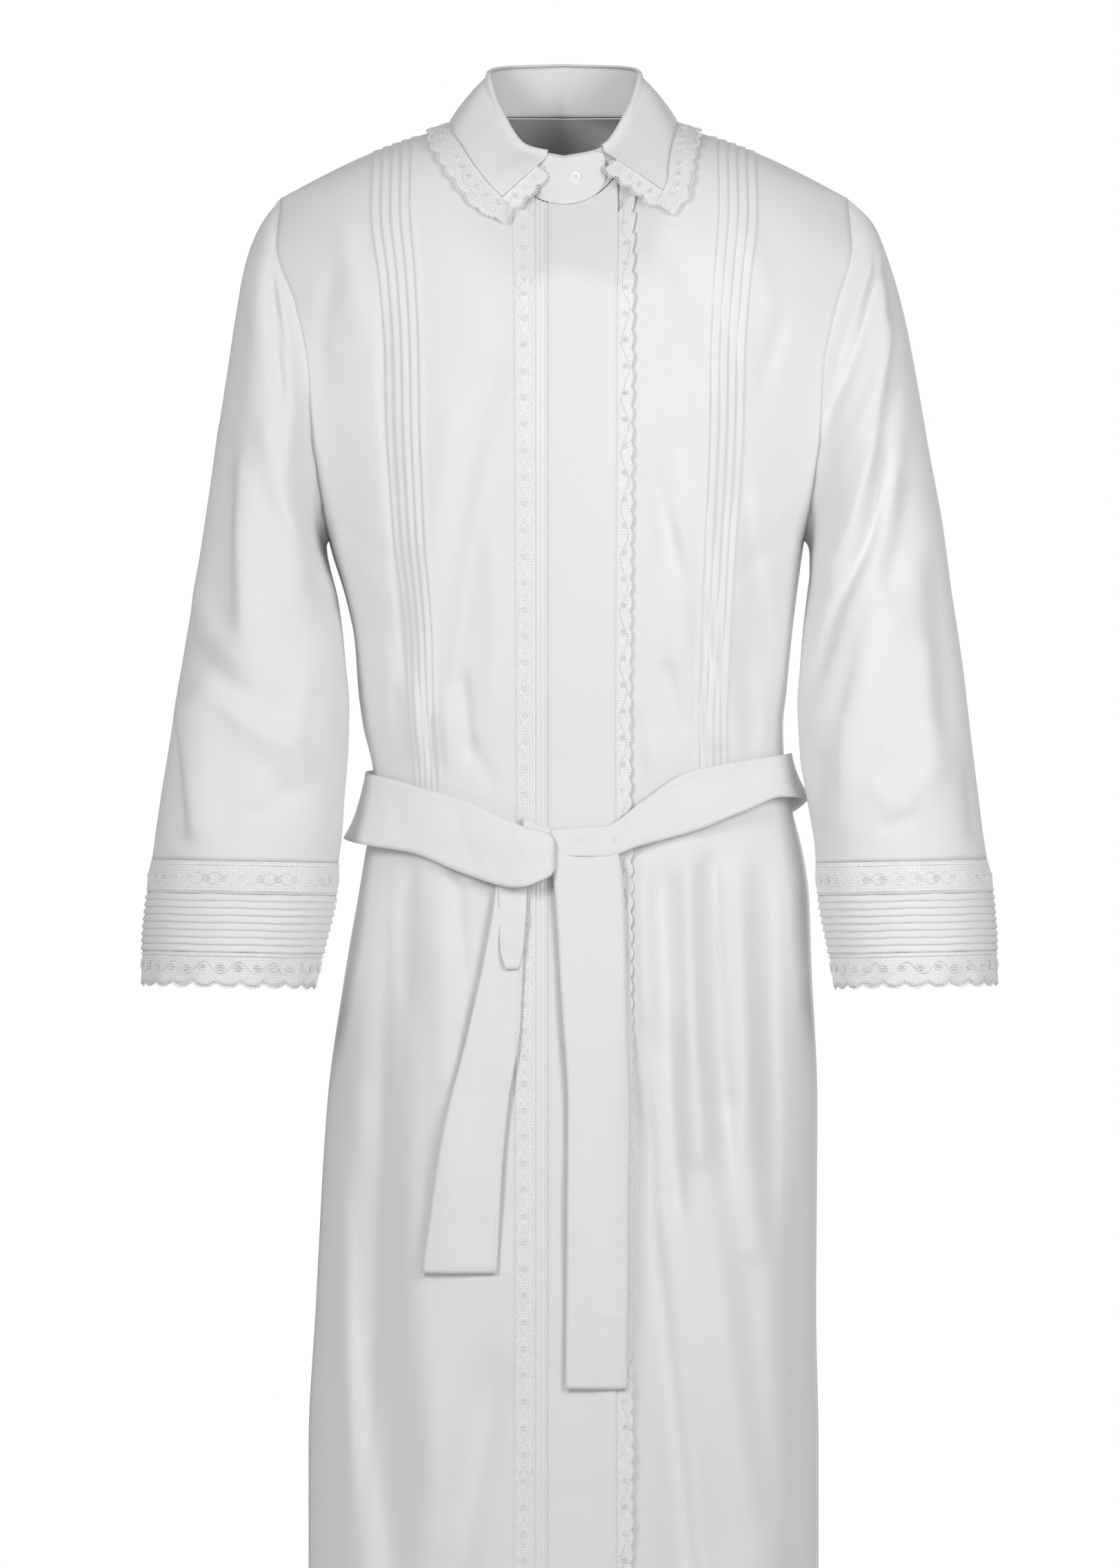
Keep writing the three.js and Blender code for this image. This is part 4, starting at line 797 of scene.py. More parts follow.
def body_normal(face, across, level):
    across, level = np.broadcast_arrays(np.asarray(across, float), np.asarray(level, float))
    low, high = np.maximum(across - 1, -SHOULDER_HALF), np.minimum(across + 1, SHOULDER_HALF)
    deep, shallow = np.maximum(level - 1, HEM_Z), np.minimum(level + 1, SHOULDER_Z)
    run = body_point(face, high, level) - body_point(face, low, level)
    rise = body_point(face, across, shallow) - body_point(face, across, deep)
    return unit(np.cross(run, rise)) * -face


def on_panel(face, across, level, lift):
    """A place that far off the panel's outer face."""
    out = body_normal(face, across, level)
    return body_point(face, across, level) + out * np.asarray(lift)[..., None]


def across_for(x, level):
    """How far across the shoulders the place at that x is measured."""
    hand = hand_of(x)
    bend = (side_x(hand, level) - hand * SHOULDER_HALF) / SHOULDER_HALF**2
    straight = np.abs(bend * x) < 1e-6
    safe = np.where(straight, 1, bend)
    return np.where(straight, x, (-1 + np.sqrt(np.maximum(1 + 4 * bend * x, 0))) / (2 * safe))


def level_for(face, across, z):
    """The row that lies at that height, found by halving."""
    low, high = np.full(np.shape(z), float(HEM_Z)), np.full(np.shape(z), float(SHOULDER_Z))
    for _ in range(18):
        middle = (low + high) / 2
        above = height_of(face, across, middle) > z
        high, low = np.where(above, middle, high), np.where(above, low, middle)
    return (low + high) / 2


def on_body(face, x, z, lift):
    """A place above the panel that is seen at x, z."""
    x, z = np.broadcast_arrays(np.asarray(x, float), np.asarray(z, float))
    across = np.clip(across_for(x, SHOULDER_Z), -SHOULDER_HALF, SHOULDER_HALF)
    return on_panel(face, across, level_for(face, across, z), lift)


# Nodes


class Builder:
    """Adds nodes to a tree: the values or links of a node's sockets, then its settings."""

    def __init__(self, tree):
        self.tree = tree

    def feed(self, socket, value):
        """Links an output to a socket, or sets the socket to a plain value."""
        if isinstance(value, Number):
            value = value.socket
        if isinstance(value, bpy.types.NodeSocket):
            self.tree.links.new(value, socket)
        else:
            socket.default_value = value

    def add(self, kind, inputs=None, output=0, **settings):
        """Adds a node and gives back an output of it, or a slice of them, if it has any."""
        made = self.tree.nodes.new(kind)
        for name, value in settings.items():
            setattr(made, name, value)
        for key, value in (inputs or {}).items():
            self.feed(made.inputs[key], value)
        return made.outputs[output] if made.outputs else None


class Number:
    """A number socket whose sums and products add Math nodes."""

    def __init__(self, builder, socket):
        self.builder = builder
        self.socket = socket

    def math(self, operation, first, second=0.0):
        made = self.builder.add("ShaderNodeMath", {0: first, 1: second}, operation=operation)
        return Number(self.builder, made)

    def __add__(self, other):
        return self.math("ADD", self, other)

    def __mul__(self, other):
        return self.math("MULTIPLY", self, other)

    def __sub__(self, other):
        return self.math("SUBTRACT", self, other)

    def __rsub__(self, other):
        return self.math("SUBTRACT", other, self)

    def sine(self):
        return self.math("SINE", self)

    def greater(self, other):
        return self.math("GREATER_THAN", self, other)

    def larger(self, other):
        return self.math("MAXIMUM", self, other)


# Materials


def new_material(name, colour, roughness, sheen):
    material = bpy.data.materials.new(name)
    material.use_nodes = True
    shader = material.node_tree.nodes["Principled BSDF"]
    for key, value in {
        "Roughness": roughness,
        "Sheen Weight": sheen,
        "Sheen Roughness": 0.5,
        "Specular IOR Level": 0.25,
        "Base Color": (*colour, 1),
    }.items():
        shader.inputs[key].default_value = value
    return material, Builder(material.node_tree), shader.inputs


def noise(build, vector, scale, detail, **more):
    inputs = {"Vector": vector, "Scale": scale, "Detail": detail, **more}
    return Number(build, build.add("ShaderNodeTexNoise", inputs))


def relief(build, strength, distance, height, **below):
    inputs = {"Strength": strength, "Distance": distance, "Height": height, **below}
    return build.add("ShaderNodeBump", inputs)


def shade(build, shader, share, colour, *depths):
    """Colours the shader between a deeper tone and the colour itself."""
    deep = [value * depth for value, depth in zip(colour, depths)]
    ends = {"Factor": share, 6: (*deep, 1), 7: (*colour, 1)}
    build.feed(shader["Base Color"], build.add("ShaderNodeMix", ends, 2, data_type="RGBA"))


def object_place(build):
    return build.add("ShaderNodeTexCoord", output="Object")


def cotton_material(name, looks):
    """Plain woven cotton: crossed threads, uneven yarn and faint crumples."""
    material, build, shader = new_material(name, looks.cotton, 0.88, 0.12)
    uv = build.add("ShaderNodeUVMap", uv_map="cloth")
    parts = build.add("ShaderNodeSeparateXYZ", {0: uv}, slice(2))
    across, down = (Number(build, part) for part in parts)
    threads = 2 * math.pi / looks.thread_pitch
    weave = (across * threads).sine() * 0.5 + (down * threads).sine() * 0.5
    place = object_place(build)
    yarn = noise(build, place, 420.0, 3.0)
    crumple = noise(build, place, 22.0, 3.0, Roughness=0.55)
    cloud = noise(build, place, 6.0, 2.0)
    fine = relief(build, 0.35, 0.00012, weave + yarn)
    build.feed(shader["Normal"], relief(build, 0.5, 0.0012, crumple, Normal=fine))
    shade(build, shader, cloud * 0.7 + yarn * 0.3, looks.cotton, 0.965, 0.965, 0.965)
    build.feed(shader["Roughness"], yarn * 0.1 + 0.83)
    return material


def lace_material(name, looks):
    """Fine embroidered lace: worked sprigs on a net of small meshes, with painted shade in the
    openings between the threads.
    """
    material, build, shader = new_material(name, looks.lace, 0.82, 0.1)
    uv = build.add("ShaderNodeUVMap", uv_map="cloth")

    def cells(scale, randomness, **settings):
        inputs = {"Vector": uv, "Scale": scale, "Randomness": randomness}
        return Number(build, build.add("ShaderNodeTexVoronoi", inputs, "Distance", **settings))

    waver = noise(build, uv, 700.0, 2.0)
    worked = (0.42 - (cells(150.0, 0.75) + waver * 0.25)).greater(0.0)
    mesh = (0.2 - cells(430.0, 0.35, feature="DISTANCE_TO_EDGE")).greater(0.0)
    height = worked * 0.8 + mesh * 0.4 + waver * 0.3
    build.feed(shader["Normal"], relief(build, 0.7, 0.0005, height))
    # Painted shade: the openings between the worked sprigs and the net are darkened to 0.86 of the
    # lace's colour.
    shade(build, shader, worked.larger(mesh), looks.lace, 0.86, 0.86, 0.86)
    return material


def thread_material(name, looks):
    """Mercerised sewing thread: slightly glossier than the cloth, twisted."""
    material, build, shader = new_material(name, looks.thread, 0.6, 0.15)
    twist = noise(build, object_place(build), 1500.0, 2.0)
    build.feed(shader["Normal"], relief(build, 0.4, 0.0001, twist))
    shade(build, shader, twist * 0.8 + 0.1, looks.thread, 0.93, 0.93, 0.93)
    return material


def pearl_material(name, looks):
    """A pearly shirt button: smooth, with cloudy bands under its gloss."""
    material, build, shader = new_material(name, looks.pearl, 0.22, 0.0)
    shader["Coat Weight"].default_value = 0.6
    shader["Coat Roughness"].default_value = 0.08
    shader["Specular IOR Level"].default_value = 0.5
    bands = noise(build, object_place(build), 260.0, 2.0, Distortion=1.5)
    shade(build, shader, bands, looks.pearl, 0.9, 0.91, 0.96)
    return material


FINISHES = {
    "cotton": ("white_cotton", cotton_material),
    "lace": ("white_lace", lace_material),
    "thread": ("white_thread", thread_material),
    "pearl": ("pearl_button", pearl_material),
}


def finish_of(kind):
    """The material of that kind, made when it is first asked for."""
    name, make = FINISHES[kind]
    return bpy.data.materials.get(name) or make(name, bpy.context.scene.kittel_looks)


# Meshes


def link(name, data):
    thing = bpy.data.objects.new(name, data)
    bpy.context.scene.collection.objects.link(thing)
    return thing


def new_object(name, vertices, faces, uv=None):
    mesh = bpy.data.meshes.new(name)
    mesh.from_pydata([tuple(v) for v in vertices * MM], [], faces)
    if uv is not None:
        layer = mesh.uv_layers.new(name="cloth")
        order = np.empty(len(mesh.loops), int)
        mesh.loops.foreach_get("vertex_index", order)
        layer.data.foreach_set("uv", (uv[order] * MM).ravel())
    mesh.polygons.foreach_set("use_smooth", [True] * len(mesh.polygons))
    mesh.update()
    return link(name, mesh)


def finish_piece(piece, finish, node=None):
    """Gives a piece its finish and its body, and hides the frame's node that it stands for."""
    piece.data.materials.clear()
    piece.data.materials.append(finish_of(finish))
    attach(piece, "root")
    if node:
        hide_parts(node)


def grid_normals(points, closed):
    """Directions square to a grid of points, from its columns to its rows."""
    if closed:
        wide = np.concatenate([points[:, -1:], points, points[:, :1]], axis=1)
        columns = (wide[:, 2:] - wide[:, :-2]) / 2
    else:
        columns = np.gradient(points, axis=1)
    return unit(np.cross(columns, np.gradient(points, axis=0)))


def grid_quads(rows, columns, closed):
    """The vertex numbers of a grid, and its quads."""
    index = np.arange(rows * columns).reshape(rows, columns)
    nexts = np.roll(index, -1, axis=1) if closed else index[:, 1:]
    here = index if closed else index[:, :-1]
    quads = np.stack([here[:-1], nexts[:-1], nexts[1:], here[1:]], axis=-1)
    return index, quads.reshape(-1, 4)


def cloth(name, points, uv, thickness, outward, closed=False):
    """A sheet as a thin shell: its outer face is the grid, and outward is its turn, 1 or -1."""
    index, quads = grid_quads(*points.shape[:2], closed)
    inner = points - grid_normals(points, closed) * outward * thickness
    vertices = np.concatenate([points.reshape(-1, 3), inner.reshape(-1, 3)])
    if outward < 0:
        quads = quads[:, ::-1]
    faces = [quads, quads[:, ::-1] + index.size]
    edges = [(index[0], True), (index[-1], False)]
    if closed:
        edges = [(np.append(edge, edge[:1]), flip) for edge, flip in edges]
    else:
        edges += [(index[:, 0], False), (index[:, -1], True)]
    for edge, flip in edges:
        under = edge + index.size
        rim = np.stack([edge[:-1], under[:-1], under[1:], edge[1:]], axis=-1)
        faces.append(rim if (outward > 0) == flip else rim[:, ::-1])
    twice = np.concatenate([uv.reshape(-1, 2)] * 2)
    piece = new_object(f"{name}_cloth", vertices, np.concatenate(faces).tolist(), twice)
    finish, flat, held, rests_on, area = SHEETS[name]
    finish_piece(piece, finish, name)


# Sewing lines: geometry nodes that repeat a small motif along lines on the cloth


def ball(build, segments, radius):
    inputs = {"Segments": segments, "Rings": 3, "Radius": radius}
    return build.add("GeometryNodeMeshUVSphere", inputs)


def motif_stitch(build):
    """One stitch."""
    return ball(build, 5, 0.52)


def motif_flower(build):
    """A small six-petalled flower with a knot in its middle."""
    ring = build.add("GeometryNodeMeshCircle", {"Vertices": 6, "Radius": 0.31})
    petals = {"Points": ring, "Instance": ball(build, 6, 0.18)}
    both = build.tree.nodes.new("GeometryNodeJoinGeometry")
    build.feed(both.inputs[0], build.add("GeometryNodeInstanceOnPoints", petals))
    build.feed(both.inputs[0], ball(build, 6, 0.15))
    return both.outputs[0]


def motif_picot(build):
    """A small thread loop that stands on the lace's free edge."""
    ring, thread = (
        build.add(
            "GeometryNodeCurvePrimitiveCircle",
            {"Resolution": resolution, "Radius": radius},
            mode="RADIUS",
        )
        for resolution, radius in ((8, 0.5), (4, 0.16))
    )
    return build.add("GeometryNodeCurveToMesh", {"Curve": ring, "Profile Curve": thread})


MOTIFS = {"stitch": motif_stitch, "flower": motif_flower, "picot": motif_picot}
MOTIF_SIZES = ("Pitch", "Length", "Width", "Height")


def motif_tree(kind):
    """The tree that repeats one motif along lines, turned along the line and out of the cloth."""
    name = f"kittel_{kind}"
    if name in bpy.data.node_groups:
        return bpy.data.node_groups[name]
    tree = bpy.data.node_groups.new(name, "GeometryNodeTree")
    sockets = [("Geometry", "INPUT", "Geometry")]
    sockets += [(label, "INPUT", "Float") for label in MOTIF_SIZES]
    sockets += [("Finish", "INPUT", "Material"), ("Geometry", "OUTPUT", "Geometry")]
    for label, way, kind_of in sockets:
        tree.interface.new_socket(label, in_out=way, socket_type=f"NodeSocket{kind_of}")
    build = Builder(tree)
    given = tree.nodes.new("NodeGroupInput").outputs
    curve = build.add("GeometryNodeMeshToCurve", {"Mesh": given["Geometry"]})
    even = {"Curve": curve, "Length": given["Pitch"]}
    even = build.add("GeometryNodeResampleCurve", even, mode="LENGTH")
    run = build.add("GeometryNodeInputTangent")
    out = build.add("GeometryNodeInputNamedAttribute", {"Name": "out"}, data_type="FLOAT_VECTOR")
    turn = build.add("FunctionNodeAlignRotationToVector", {"Vector": run}, axis="X")
    turn = build.add(
        "FunctionNodeAlignRotationToVector",
        {"Rotation": turn, "Vector": out},
        axis="Z",
        pivot_axis="X",
    )
    scale = dict(zip("XYZ", (given[label] for label in MOTIF_SIZES[1:])))
    scale = build.add("ShaderNodeCombineXYZ", scale)
    motif = {"Geometry": MOTIFS[kind](build), "Scale": scale}
    motif = build.add("GeometryNodeTransform", motif)
    placed = {"Points": even, "Instance": motif, "Rotation": turn}
    placed = build.add("GeometryNodeInstanceOnPoints", placed)
    real = build.add("GeometryNodeRealizeInstances", {"Geometry": placed})
    shaded = build.add("GeometryNodeSetShadeSmooth", {"Geometry": real})
    dyed = {"Geometry": shaded, "Material": given["Finish"]}
    build.add("NodeGroupOutput", {"Geometry": build.add("GeometryNodeSetMaterial", dyed)})
    return tree


def sew(name, kind, lines, sizes):
    """Repeats a motif along lines; a line is its points and the directions out of the cloth."""
    points = np.concatenate([line[0] for line in lines])
    outs = np.concatenate([line[1] for line in lines])
    edges, start = [], 0
    for line in lines:
        edges += [(start + i, start + i + 1) for i in range(len(line[0]) - 1)]
        start += len(line[0])
    mesh = bpy.data.meshes.new(f"{name}_lines")
    mesh.from_pydata([tuple(v) for v in points * MM], edges, [])
    attribute = mesh.attributes.new("out", "FLOAT_VECTOR", "POINT")
    attribute.data.foreach_set("vector", unit(outs).ravel())
    guide = link(f"{name}_lines", mesh)
    tree = motif_tree(kind)
    modifier = guide.modifiers.new("motif", "NODES")
    modifier.node_group = tree
    inputs = [item for item in tree.interface.items_tree if item.in_out == "INPUT"]
    named = {item.name: item.identifier for item in inputs}
    for label, value in zip(MOTIF_SIZES, sizes):
        modifier[named[label]] = value * MM
    modifier[named["Finish"]] = finish_of("thread")
    evaluated = guide.evaluated_get(bpy.context.evaluated_depsgraph_get())
    plain = bpy.data.meshes.new_from_object(evaluated)
    plain.name = name
    piece = link(name, plain)
    bpy.data.objects.remove(guide)
    bpy.data.meshes.remove(mesh)
    if not len(plain.polygons):
        raise RuntimeError(f"{name}: nothing was sewn")
    finish_piece(piece, "thread")


def panel_line(face, across, levels, lift):
    """A sewing line down or across a panel."""
    across, levels = np.broadcast_arrays(np.asarray(across, float), np.asarray(levels, float))
    return on_panel(face, across, levels, lift), body_normal(face, across, levels)


# Panels and bands


def panel_levels():
    """Rows of the panels, close together where the armhole turns."""
    turn = math.pi * np.arange(ARMHOLE_ROWS + 1) / ARMHOLE_ROWS
    lower = np.linspace(UNDERARM_Z, HEM_Z, LOWER_ROWS + 1)[1:]
    return np.concatenate([ARMHOLE_MIDDLE + ARMHOLE_HALF * np.cos(turn), lower])


def tuck_columns(start, pitch, count, stops):
    """Places through a group of tucks, and how far each stands up."""
    places = [start + (tuck + place) * pitch for tuck in range(count) for place, _ in stops]
    return np.array(places), np.array([rise for _, rise in stops] * count)


def side_columns(hand):
    """Columns from the side to the tucks and on to the lapped front, with their rises."""
    places, rises = tuck_columns(TUCKS_FROM, TUCK_PITCH, TUCK_COUNT, TUCK_STOPS)
    outer = np.linspace(SHOULDER_HALF, TUCKS_FROM + TUCK_COUNT * TUCK_PITCH, 20)
    inner = np.linspace(TUCKS_FROM, SIDE_TO, 17)[1:]
    columns = np.concatenate([outer, places[::-1], inner]) * hand
    rises = np.concatenate([outer * 0, rises[::-1], inner * 0])
    order = np.argsort(columns, kind="stable")
    return columns[order], rises[order]


def make_panel(name, face, columns, rises, sunk=0):
    """A panel of the body; sunk is how far its columns lie under the front's own form."""
    across, level = np.meshgrid(columns, panel_levels())
    tuck = smooth((level - TUCKS_END_Z) / 50) * size("tuck_height")
    height = np.where(np.abs(across) > SIDE_TUCKS_BEYOND, tuck, size("pintuck_height"))
    points = on_panel(face, across, level, rises * height - sunk)
    cloth(name, points, stack(across, level), size("cloth_thickness"), face)


def make_front_right():
    side, side_rises = side_columns(-1)
    pitch = (PLACKET_FROM - PINTUCKS_FROM) / PINTUCK_COUNT
    pin, pin_rises = tuck_columns(PINTUCKS_FROM, pitch, PINTUCK_COUNT, PINTUCK_STOPS)
    beside = np.linspace(-LAP_FROM, LACE_BAND_FROM, 5)
    under_lace = np.linspace(LACE_BAND_FROM, PINTUCKS_FROM, 6)[1:-1]
    lapped = np.linspace(PLACKET_FROM, PLACKET_TO, 15)
    columns = np.concatenate([side, beside, under_lace, pin, lapped])
    flat = [part * 0 for part in (beside, under_lace)]
    rises = np.concatenate([side_rises, *flat, pin_rises, lapped * 0])
    make_panel("front_right", FRONT, columns, rises)


def make_front_left():
    side, side_rises = side_columns(1)
    lapped = np.linspace(PLACKET_FROM, LAP_FROM, 18)
    columns = np.concatenate([lapped, side])
    ramp = (columns - UNDERLAP_RAMP_FROM) / (UNDERLAP_RAMP_TO - UNDERLAP_RAMP_FROM)
    rises = np.concatenate([lapped * 0, side_rises])
    make_panel("front_left", FRONT, columns, rises, UNDERLAP_DEPTH * (1 - smooth(ramp)))


def make_back():
    columns = np.linspace(-SHOULDER_HALF, SHOULDER_HALF, 119)
    make_panel("back", BACK, columns, columns * 0)


def make_band(name, low, high, count, thickness):
    """A band on the front, its inner face just off the panel and its edges thinned."""
    edge = np.array([0, 0.3, 0.6, 0.9, 1.2, BAND_EDGE])
    middle = np.linspace(low + BAND_EDGE, high - BAND_EDGE, count)[1:-1]
    columns = np.concatenate([low + edge, middle, high - edge[::-1]])
    across, level = np.meshgrid(columns, panel_levels())
    to_edge = np.minimum(across - low, high - across)
    thin = thickness * mix(0.25, 1, smooth(to_edge / BAND_EDGE))
    points = on_panel(FRONT, across, level, BAND_LIFT + thin)
    cloth(name, points, stack(across, level), thin[..., None], FRONT)


def edge_lace_reach(level):
    """How far across the edge lace reaches at a level, in and out with its scallops."""
    return EDGE_LACE_TO - scallop((EDGE_LACE_TOP_Z - level) / EDGE_SCALLOP, EDGE_SCALLOP_DEPTH)


def make_edge_lace():
    """The scalloped lace along the lap; it stands off more loosely towards the hem."""
    count = round((EDGE_LACE_TOP_Z - HEM_Z) / EDGE_SCALLOP)
    levels = np.linspace(EDGE_LACE_TOP_Z, HEM_Z, count * 10 + 1)
    share, level = np.meshgrid(np.linspace(0, 1, 8), levels)
    across = mix(PLACKET_TO + 0.05, edge_lace_reach(level), share)
    loose = mix(0.4, 1, smooth((-450 - level) / 200))
    wave = 0.7 + 0.6 * np.sin(level / 9.0) + 0.4 * np.sin(level / 31.0)
    points = on_panel(FRONT, across, level, 0.4 + loose * share * wave)
    cloth("lace_edge", points, stack(across, level), LACE_THICKNESS, FRONT)


# Sleeves and cuffs


def make_tube(kind, name, points, u, v, thickness):
    cloth(f"{kind}_{name}", points, stack(u, v), thickness, HANDS[name], closed=True)


def out_of_sleeve(name, turn):
    """The level direction out of a sleeve at a turn."""
    angle = np.radians(turn)
    return stack(np.cos(angle) * HANDS[name], -np.sin(angle), angle * 0)


def armhole_point(hand, turn):
    level = ARMHOLE_MIDDLE + ARMHOLE_HALF * np.cos(np.radians(turn))
    front, back = (body_point(face, hand * SHOULDER_HALF, level) for face in (FRONT, BACK))
    return np.where((turn <= 180)[..., None], front, back)


def ring_point(outer_x, outer_z, inner_x, inner_z, depth, middle_y, turn):
    angle = np.radians(turn)
    x = (outer_x + inner_x) / 2 + (outer_x - inner_x) / 2 * np.cos(angle)
    z = (outer_z + inner_z) / 2 + (outer_z - inner_z) / 2 * np.cos(angle)
    return stack(x, middle_y - depth * np.sin(angle), z)


def sleeve_ring(rows, ring, turn):
    names = SLEEVE_COLUMNS.split()[1:]
    return ring_point(*(along(rows, "ring", ring, name) for name in names), turn)


def sleeve_point(name, ring, turn):
    """A point of a sleeve: ring 0 is the armhole, SLEEVE_RINGS the seam above the cuff."""
    rows = SLEEVES[name]
    first = sleeve_ring(rows, ring * 0, turn)
    blend = np.clip(1 - ring / 4, 0, 1) ** 2
    to_armhole = (armhole_point(HANDS[name], turn) - first) * blend[..., None]
    point = sleeve_ring(rows, ring, turn) + to_armhole
    x, z = point[..., 0], point[..., 2]
    facing = np.sin(np.radians(turn))
    total = straight_folds(SLEEVE_FOLDS[name], ring, turn, TURN_PER_RING) * 0.7
    for face, way in (("front", 1), ("back", -1)):
        creases = crease_rise(f"sleeve_{name}_{face}", x, z)
        total = total + 1.25 * creases * smooth(way * facing * 1.6 + 0.15)
    total = total + ripple(x * 1.3 + facing * 60, z, SLEEVE_RIPPLE_SEED, 110, 0.8)
    total = total * smooth(ring / 0.9) * smooth((SLEEVE_RINGS - ring) / 0.6)
    puckers = 0.8 * np.sin(np.radians(turn * 24)) * np.exp(-((ring / 0.25) ** 2))
    total = total + puckers * smooth(ring / 0.1)
    return point + out_of_sleeve(name, turn) * total[..., None]


def make_sleeve(name):
    rings = np.concatenate([np.linspace(0, 1, 14)[:-1], np.linspace(1, SLEEVE_RINGS, 94)])
    turn, ring = np.meshgrid(np.arange(SLEEVE_SIDES) * 360 / SLEEVE_SIDES, rings)
    points = sleeve_point(name, ring, turn)
    points[..., 0] -= HANDS[name] * 1.1 * smooth(1 - ring / 0.06)
    make_tube("sleeve", name, points, turn / 360 * 490, -ring * 53, size("cloth_thickness"))


def cuff_ring(name, z, turn, grow):
    """Points round a cuff at a height, that far outside the table's own form."""
    rows, hand = CUFFS[name], HANDS[name]
    outer_x, inner_x, depth, middle_y = (
        along(rows, "z", z, column) for column in CUFF_COLUMNS.split()[1:]
    )
    outer_x, inner_x = outer_x + hand * grow, inner_x - hand * grow
    return ring_point(outer_x, z, inner_x, z - 3, depth + grow, middle_y, turn)


def make_cuff_insertion(name):
    """The lace let in above the cuff, with a slight swell between its seams."""
    heights = np.linspace(INSERTION_TOP_Z, CUFF_TOP_Z, 9)
    turn, z = np.meshgrid(np.arange(120) * 3.0, heights)
    share = (z - INSERTION_TOP_Z) / (CUFF_TOP_Z - INSERTION_TOP_Z)
    grow = 0.3 + 0.7 * np.sin(math.pi * share) + 0.3 * np.sin(np.radians(turn * 9))
    points = cuff_ring(name, z, turn, grow)
    make_tube("cuff_insertion", name, points, turn / 360 * 480, z, LACE_THICKNESS)


def make_cuff(name):
    """The cuff with its row of tucks, each laid down towards the hand."""
    pitch = (CUFF_END_Z - CUFF_TOP_Z) / CUFF_TUCKS
    heights, rises = tuck_columns(CUFF_TOP_Z, pitch, CUFF_TUCKS, CUFF_TUCK_STOPS)
    heights, rises = np.append(heights, CUFF_END_Z), np.append(rises, 0.0)
    turn, z = np.meshgrid(np.arange(150) * 2.4, heights)
    rise = rises[:, None] * size("cuff_tuck_height")
    uneven = 0.35 * np.sin(np.radians(turn * 7 + z * 3))
    uneven = uneven + 0.25 * np.sin(np.radians(turn * 17 - z * 5))
    points = cuff_ring(name, z + uneven * 0.6, turn, rise + 0.2 * uneven)
    make_tube("cuff", name, points, turn / 360 * 480, z, size("cloth_thickness"))


def cuff_lace_foot(turn):
    """How low the cuff lace hangs at a turn, up and down with its scallops."""
    return CUFF_LACE_END_Z + scallop(turn / 360 * CUFF_SCALLOPS, CUFF_SCALLOP_DEPTH)


def make_cuff_lace(name):
    turns = np.arange(CUFF_SCALLOPS * 10) * 36 / CUFF_SCALLOPS
    turn, share = np.meshgrid(turns, np.linspace(0, 1, 8))
    z = mix(CUFF_END_Z, cuff_lace_foot(turn), share)
    wave = 1.3 * np.sin(np.radians(turn * CUFF_SCALLOPS / 2)) + 0.8 * np.sin(np.radians(turn * 5))
    points = cuff_ring(name, z, turn, wave * share)
    make_tube("cuff_lace", name, points, turn / 360 * 470, z, 0.7)


# Collar


def neck_point(turn):
    """A place on the neckline; turn 0 is the front, 90 the wearer's left."""
    across = NECK_HALF * np.sin(np.radians(turn)) * 0.9999
    front, back = (body_point(face, across, SHOULDER_Z) for face in (FRONT, BACK))
    return np.where((np.cos(np.radians(turn)) >= 0)[..., None], front, back)


def stand_top(turn):
    even = np.abs((turn + 540) % 360 - 180)
    z, half_width, reach = (
        along(STAND_TOP, "turn", even, column) for column in ("z", "halfWidth", "reach")
    )
    angle = np.radians(turn)
    return stack(half_width * np.sin(angle), SHOULDER_SEAM_Y - reach * np.cos(angle), z)


def out_of_neck(turn):
    angle = np.radians(turn)
    return stack(np.sin(angle), -np.cos(angle), angle * 0)


def stand_point(turn, height, inset):
    low = neck_point(turn)
    point = low + (stand_top(turn) - low) * np.asarray(height)[..., None]
    return point - out_of_neck(turn) * np.asarray(inset)[..., None]


def make_stand():
    """The stand; its start lies under its end, which is rounded into a tab."""
    height, turn = np.meshgrid(np.linspace(0, 1, 12), np.linspace(STAND_FROM, STAND_TO, 260))
    ramp = (turn - STAND_UNDER_UNTIL) / (STAND_RAMP_UNTIL - STAND_UNDER_UNTIL)
    to_end = np.clip((STAND_TO - turn) / TAB_ROUND, 0, 1)
    narrow = 0.3 + 0.7 * np.sqrt(1 - (1 - to_end) ** 2)
    place = 0.5 + (height - 0.5) * narrow
    points = stand_point(turn, place, 2.0 * (1 - smooth(ramp)))
    points[..., 2] += 0.8 * (1 - place)
    cloth("collar_stand", points, stack(turn / 360 * 400, height * 40), 1.3, 1)


def on_leaf_side(turn, x, z, lift):
    behind = (turn < LEAF_ON_BACK_FROM) & (turn > LEAF_ON_BACK_TO)
    front, back = on_body(FRONT, x, z, lift), on_body(BACK, x, z, lift)
    return np.where(behind[..., None], back, front)


def collar_place(turn, kind):
    """Where the leaf's edge or the lace's free edge is seen: its x and z."""
    return along(COLLAR, "turn", turn, f"{kind}X"), along(COLLAR, "turn", turn, f"{kind}Z")


def leaf_point(turn, share, lift):
    """The leaf from the end of the roll at 0 to its free edge at 1."""
    out = out_of_neck(turn)
    start = stand_top(turn) + out * (2.3 + lift)
    start[..., 2] -= 2.4
    edge = on_leaf_side(turn, *collar_place(turn, "edge"), LEAF_LIFT + lift)
    bend = (start + edge) / 2 + out * 4
    share = np.asarray(share)[..., None]
    rest = 1 - share
    return start * rest**2 + bend * 2 * rest * share + edge * share**2


